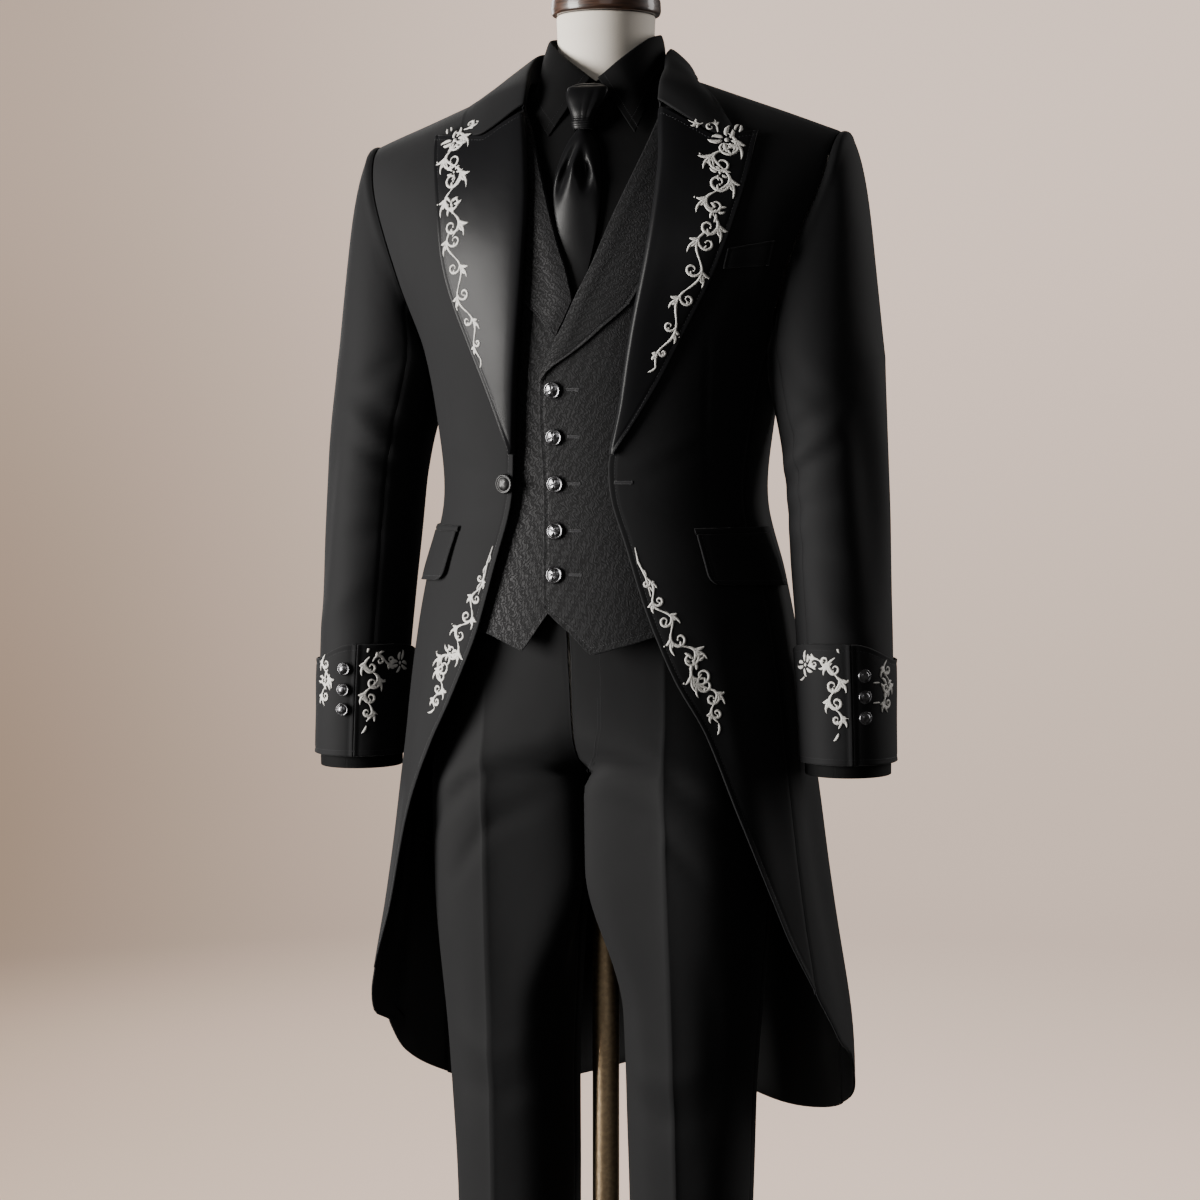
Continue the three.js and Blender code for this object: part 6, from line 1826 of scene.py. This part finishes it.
# %% Vines on the cutaway fronts
SKIRT_VINES = {
    "L": [[brush([(0, 8), (14, 7), (30, 10), (50, 9)], 1.1, 1, 0.4)],
    vine([(30, 10), (66, 14), (106, 21), (146, 27)], [5, 10, 15, 18], 6, 1.4, 1),
    vine([(140, 27), (164, 23), (188, 16)], [15, 12, 7], 3, 1.45, -1),
    [*flower((124, 25), 11, 15, 6), leaf((188, 16), -8, 13, 1.3, -1), leaf((22, 9), 34, 10, 1.0, -1),
    leaf((10, 8), -30, 9, 0.8, 1), leaf((40, 10), 40, 11, 1.1, -1)]],
    "R": [[brush([(0, 8), (16, 9), (30, 8), (50, 10)], 1.1, 1, 0.4)],
    vine([(28, 10), (64, 14), (102, 20), (140, 25)], [5, 10, 15, 17], 6, 1.4, -1),
    vine([(134, 25), (158, 21), (180, 14)], [14, 11, 7], 3, 1.45, 1),
    [*flower((120, 23), 11, 40, 6), leaf((180, 14), 6, 13, 1.3, 1), leaf((20, 9), 34, 10, 1.0, -1),
    leaf((9, 8), -30, 9, 0.8, 1), leaf((38, 10), 42, 11, 1.1, -1)]],
}
SKIRT_START_Z = 1106
for tag, side in SIDES:
    heights = np.linspace(SKIRT_START_Z, 900, 110)
    place = coat_place(tag, side, lambda a, z: COAT_T + 0 * a)
    bed = cloth_bed(place, coat_edge(tag, heights), heights, 1, LAPEL_CENTRE)
    strokes = [stroke for group in SKIRT_VINES[tag] for stroke in group]
    print("skirt", tag, embroider(f"embroidery_front_{tag}", f"coat_front_{tag}", bed, strokes))

# %% Vines on the cuffs
CUFF_FRONT_VINES = {
    "L": [vine([(8, 12), (28, 15), (52, 13), (76, 11)], [11, 13, 12, 8], 4, 1.6, 1),
    vine([(13, 15), (11, 28), (15, 42)], [8, 9, 7], 2, 1.4, -1),
    [*flower((15, 47), 13, 20, 7), leaf((4, 8), 150, 9, 1.4, 1), leaf((80, 11), 10, 11, 1.4, 1),
    leaf((26, 49), 40, 11, 1.2, 1)]],
    "R": [vine([(8, 11), (28, 14), (50, 13), (74, 10)], [11, 13, 11, 8], 4, 1.6, -1),
    vine([(13, 14), (10, 26), (13, 40)], [8, 9, 7], 2, 1.4, 1),
    [*flower((14, 46), 12.5, 0, 7), leaf((4, 8), 150, 9, 1.4, 1), leaf((78, 10), -5, 11, 1.4, -1)]],
}
CUFF_REAR_VINES = {
    "L": [vine([(12, 12), (36, 11), (62, 12)], [9, 11, 8], 3, 1.45, -1), flower((38, 12), 11, 30, 6),
    [brush([(33, 1), (33, -3), (33, -7)], 0.9, 1, 0.6), brush([(52, 1), (52, -3), (52, -7)], 0.9, 1, 0.6)]],
    "R": [vine([(8, 11), (32, 10), (60, 10)], [9, 11, 8], 3, 1.45, 1), flower((34, 10), 11, 10, 6)],
}
CUFF_REAR_START = {"L": 33, "R": 31}
CUFF_CENTRE = np.array([255.0, -24, 950])


def cuff_place(tag, side):
    """The cuff's outer surface: degrees before its slit, and millimetres of height."""
    def place(before, height):
        beyond = np.mod(-before, 360)
        foot = CUFF_Z[tag] - 1
        share = (height - foot) / (cuff_top(tag, beyond) - foot)
        return mirrored(cuff_point(tag, beyond, share, CUFF_OUT[0]), side)
    return place


for tag, side in SIDES:
    heights = np.linspace(CUFF_TOP_Z[tag] - 3, CUFF_Z[tag] + 4, 60)
    place = cuff_place(tag, side)
    for part, before, inwards, vines in (("front", 3.2, 1, CUFF_FRONT_VINES),
            ("rear", -CUFF_REAR_START[tag], -1, CUFF_REAR_VINES)):
        bed = cloth_bed(place, before + 0 * heights, heights, inwards, mirrored(CUFF_CENTRE, side))
        strokes = [stroke for group in vines[tag] for stroke in group]
        count = embroider(f"embroidery_cuff_{part}_{tag}", f"coat_cuff_{tag}", bed, strokes)
        print("cuff", part, tag, count)

# %% [markdown]
# ## Stitches
# A row of hand stitches is a path and a rhythm, which is what Geometry Nodes are good at. One tree walks
# along curves and sets a small rounded stitch at each step, turned along the curve. A second tree gives a
# round section to loose threads, for the buttonholes. The paths are taken from the finished grids of the
# cloth.


# %% Two small trees
def sewing_tree(name, numbers):
    tree = bpy.data.node_groups.new(name, "GeometryNodeTree")
    tree.interface.new_socket("Geometry", in_out="INPUT", socket_type="NodeSocketGeometry")
    for key in numbers:
        tree.interface.new_socket(key, in_out="INPUT", socket_type="NodeSocketFloat")
    tree.interface.new_socket("Thread", in_out="INPUT", socket_type="NodeSocketMaterial")
    tree.interface.new_socket("Geometry", in_out="OUTPUT", socket_type="NodeSocketGeometry")
    start = tree.nodes.new("NodeGroupInput")
    end = tree.nodes.new("NodeGroupOutput")
    return tree, start, end


def finish_tree(tree, start, end, made):
    realize = tree.nodes.new("GeometryNodeRealizeInstances")
    dye = tree.nodes.new("GeometryNodeSetMaterial")
    tree.links.new(made, realize.inputs[0])
    tree.links.new(realize.outputs[0], dye.inputs["Geometry"])
    tree.links.new(start.outputs["Thread"], dye.inputs["Material"])
    tree.links.new(dye.outputs[0], end.inputs[0])


def stitch_tree():
    tree, start, end = sewing_tree("running_stitch", ("Pitch", "Length", "Radius"))
    steps = tree.nodes.new("GeometryNodeCurveToPoints")
    steps.mode = "LENGTH"
    bead = tree.nodes.new("GeometryNodeMeshUVSphere")
    bead.inputs["Segments"].default_value = 6
    bead.inputs["Rings"].default_value = 4
    size = tree.nodes.new("ShaderNodeCombineXYZ")
    shape = tree.nodes.new("GeometryNodeTransform")
    place = tree.nodes.new("GeometryNodeInstanceOnPoints")
    link = tree.links.new
    link(start.outputs["Geometry"], steps.inputs["Curve"])
    link(start.outputs["Pitch"], steps.inputs["Length"])
    for axis, key in (("X", "Radius"), ("Y", "Radius"), ("Z", "Length")):
        link(start.outputs[key], size.inputs[axis])
    link(bead.outputs["Mesh"], shape.inputs["Geometry"])
    link(size.outputs[0], shape.inputs["Scale"])
    link(steps.outputs["Points"], place.inputs["Points"])
    link(steps.outputs["Rotation"], place.inputs["Rotation"])
    link(shape.outputs[0], place.inputs["Instance"])
    finish_tree(tree, start, end, place.outputs[0])
    return tree


def thread_tree():
    tree, start, end = sewing_tree("loose_thread", ("Radius",))
    section = tree.nodes.new("GeometryNodeCurvePrimitiveCircle")
    section.inputs["Resolution"].default_value = 6
    sweep = tree.nodes.new("GeometryNodeCurveToMesh")
    sweep.inputs["Fill Caps"].default_value = True
    tree.links.new(start.outputs["Radius"], section.inputs["Radius"])
    tree.links.new(start.outputs["Geometry"], sweep.inputs["Curve"])
    tree.links.new(section.outputs[0], sweep.inputs["Profile Curve"])
    finish_tree(tree, start, end, sweep.outputs[0])
    return tree


RUNNING_STITCH = stitch_tree()
LOOSE_THREAD = thread_tree()


def sew(name, node, tree, paths, material, **sizes):
    """Runs a tree along paths in millimetres and keeps the result as a plain mesh on a sheet."""
    data = bpy.data.curves.new(name + "_path", "CURVE")
    data.dimensions = "3D"
    for path in paths:
        spline = data.splines.new("POLY")
        spline.points.add(len(path) - 1)
        places = np.concatenate([np.asarray(path) * MM, np.ones((len(path), 1))], 1)
        spline.points.foreach_set("co", places.ravel())
    guide = bpy.data.objects.new(name + "_path", data)
    bpy.context.collection.objects.link(guide)
    work = guide.modifiers.new("sewing", "NODES")
    work.node_group = tree
    for item in tree.interface.items_tree:
        if item.in_out == "INPUT" and item.name in sizes:
            work[item.identifier] = sizes[item.name] * MM
        elif item.in_out == "INPUT" and item.name == "Thread":
            work[item.identifier] = material
    bpy.context.view_layer.update()
    evaluated = guide.evaluated_get(bpy.context.evaluated_depsgraph_get())
    mesh = bpy.data.meshes.new_from_object(evaluated)
    mesh.name = name
    guide.modifiers.clear()
    bpy.data.objects.remove(guide)
    made = bpy.data.objects.new(name, mesh)
    bpy.context.collection.objects.link(made)
    finish_piece(made)
    SHEETS[node]["with"].append(made)
    return len(mesh.polygons)


# %% Edge stitches
# Columns: sheet, its edges, distance between stitches, thread
EDGE_ROWS_IN = {"left": (slice(None), 4), "right": (slice(None), -5), "low": (3, slice(None)),
    "high": (-4, slice(None))}
EDGE_STITCHES = [("coat_front", ("left",), 3.2, GREY_THREAD),
    ("coat_lapel", ("right", "high"), 3.4, GREY_THREAD),
    ("coat_flap", ("left", "low"), 3.0, GREY_THREAD), ("coat_back", ("low",), 3.4, BLACK_THREAD),
    ("coat_side", ("low",), 3.4, BLACK_THREAD), ("waistcoat_front", ("left", "low"), 2.6, GREY_THREAD),
    ("waistcoat_lapel", ("right",), 2.6, GREY_THREAD), ("shirt_collar", ("right", "low"), 2.2, BLACK_THREAD),
    ("coat_cuff", ("low", "high"), 3.2, BLACK_THREAD)]


def on_top(outer, inner, lift):
    return outer + unit(outer - inner) * lift


total = 0
for stem, edges, pitch, material in EDGE_STITCHES:
    for tag, side in SIDES:
        node = f"{stem}_{tag}"
        raised = on_top(*SHEETS[node]["grids"], 0.02)
        paths = [raised[EDGE_ROWS_IN[edge]] for edge in edges]
        total += sew(f"{node}_stitches", node, RUNNING_STITCH, paths, material, Pitch=pitch,
            Length=pitch * 0.3, Radius=0.17)
print("edge stitches", total)

# %% Fly stitches
raised = on_top(*SHEETS["trouser_front_L"]["grids"], 0.03)


def nearest_on(points, path, count):
    """Points of a cloth along a path that is given by x and z."""
    path = np.asarray(path, float)
    run = np.concatenate([[0], np.linalg.norm(np.diff(path, axis=0), axis=-1).cumsum()])
    at = np.linspace(0, run[-1], count)
    x, z = np.interp(at, run, path[:, 0]), np.interp(at, run, path[:, 1])
    facing = points[points[:, 1] < 0]
    found = []
    for px, pz in zip(x, z):
        far = np.hypot(facing[:, 0] - px, facing[:, 2] - pz)
        close = np.argsort(far)[:6]
        weight = 1 / (far[close] + 0.5) ** 2
        found.append([px, (facing[close, 1] * weight).sum() / weight.sum(), pz])
    return np.array(found)


fly_path = nearest_on(raised.reshape(-1, 3), FLY_LINE, 110)
sew("trouser_fly_stitches", "trouser_front_L", RUNNING_STITCH, [fly_path, fly_path + (-3.2, 0.1, 0)],
    BLACK_THREAD, Pitch=2.3, Length=0.75, Radius=0.2)


# %% Buttonholes
def around_slit(place, u, v, length, gap):
    """A loop of thread round a slit of this length, on a surface of two numbers, in millimetres there."""
    here, east, north = place(u, v), place(u + 1, v), place(u, v + 1)
    across, upward = east - here, north - here
    per_u, per_v = np.linalg.norm(across), np.linalg.norm(upward)
    a = np.linspace(0, 2 * math.pi, 41)
    du = np.clip(np.cos(a) * 1.3, -1, 1) * length / 2 / per_u
    dv = np.clip(np.sin(a) * 1.6, -1, 1) * gap / per_v
    return place(u + du, v + dv)


def waistcoat_place(angle, height):
    off = WAISTCOAT_OFF + WAISTCOAT_T + lap_over(angle) + 0.12
    return on_body(angle, height, off, WAISTCOAT_LIFT)


holes = [around_slit(waistcoat_place, angle + 4.6, height + 0.5, 12, gap)
    for angle, height in WAISTCOAT_BUTTONS for gap in (0.55, 1.0)]
sew("waistcoat_buttonholes", "waistcoat_front_L", LOOSE_THREAD, holes, BLACK_THREAD, Radius=0.32)
coat_hole = [around_slit(lambda a, z: on_body(a, z, COAT_T + 0.1, 0), 18, 1170, 17, gap)
    for gap in (0.6, 1.1)]
sew("coat_buttonhole", "coat_front_L", LOOSE_THREAD, coat_hole, BLACK_THREAD, Radius=0.34)
print("sewing done")

# %% [markdown]
# ## What each cloth was cut from
# Each sheet's size before it was sewn, taken along the cloth of what shows, was noted when it was built and
# is printed here.
# The embroidery and the stitches belong to the sheet that they are worked on.

JET_CUT = 0.0112  # a jet is a strip folded double
for node, sheet in SHEETS.items():
    width, length = sheet["flat"]
    length = max(length, JET_CUT) if "jet" in node else length
    print(node, round(width, 3), round(length, 3))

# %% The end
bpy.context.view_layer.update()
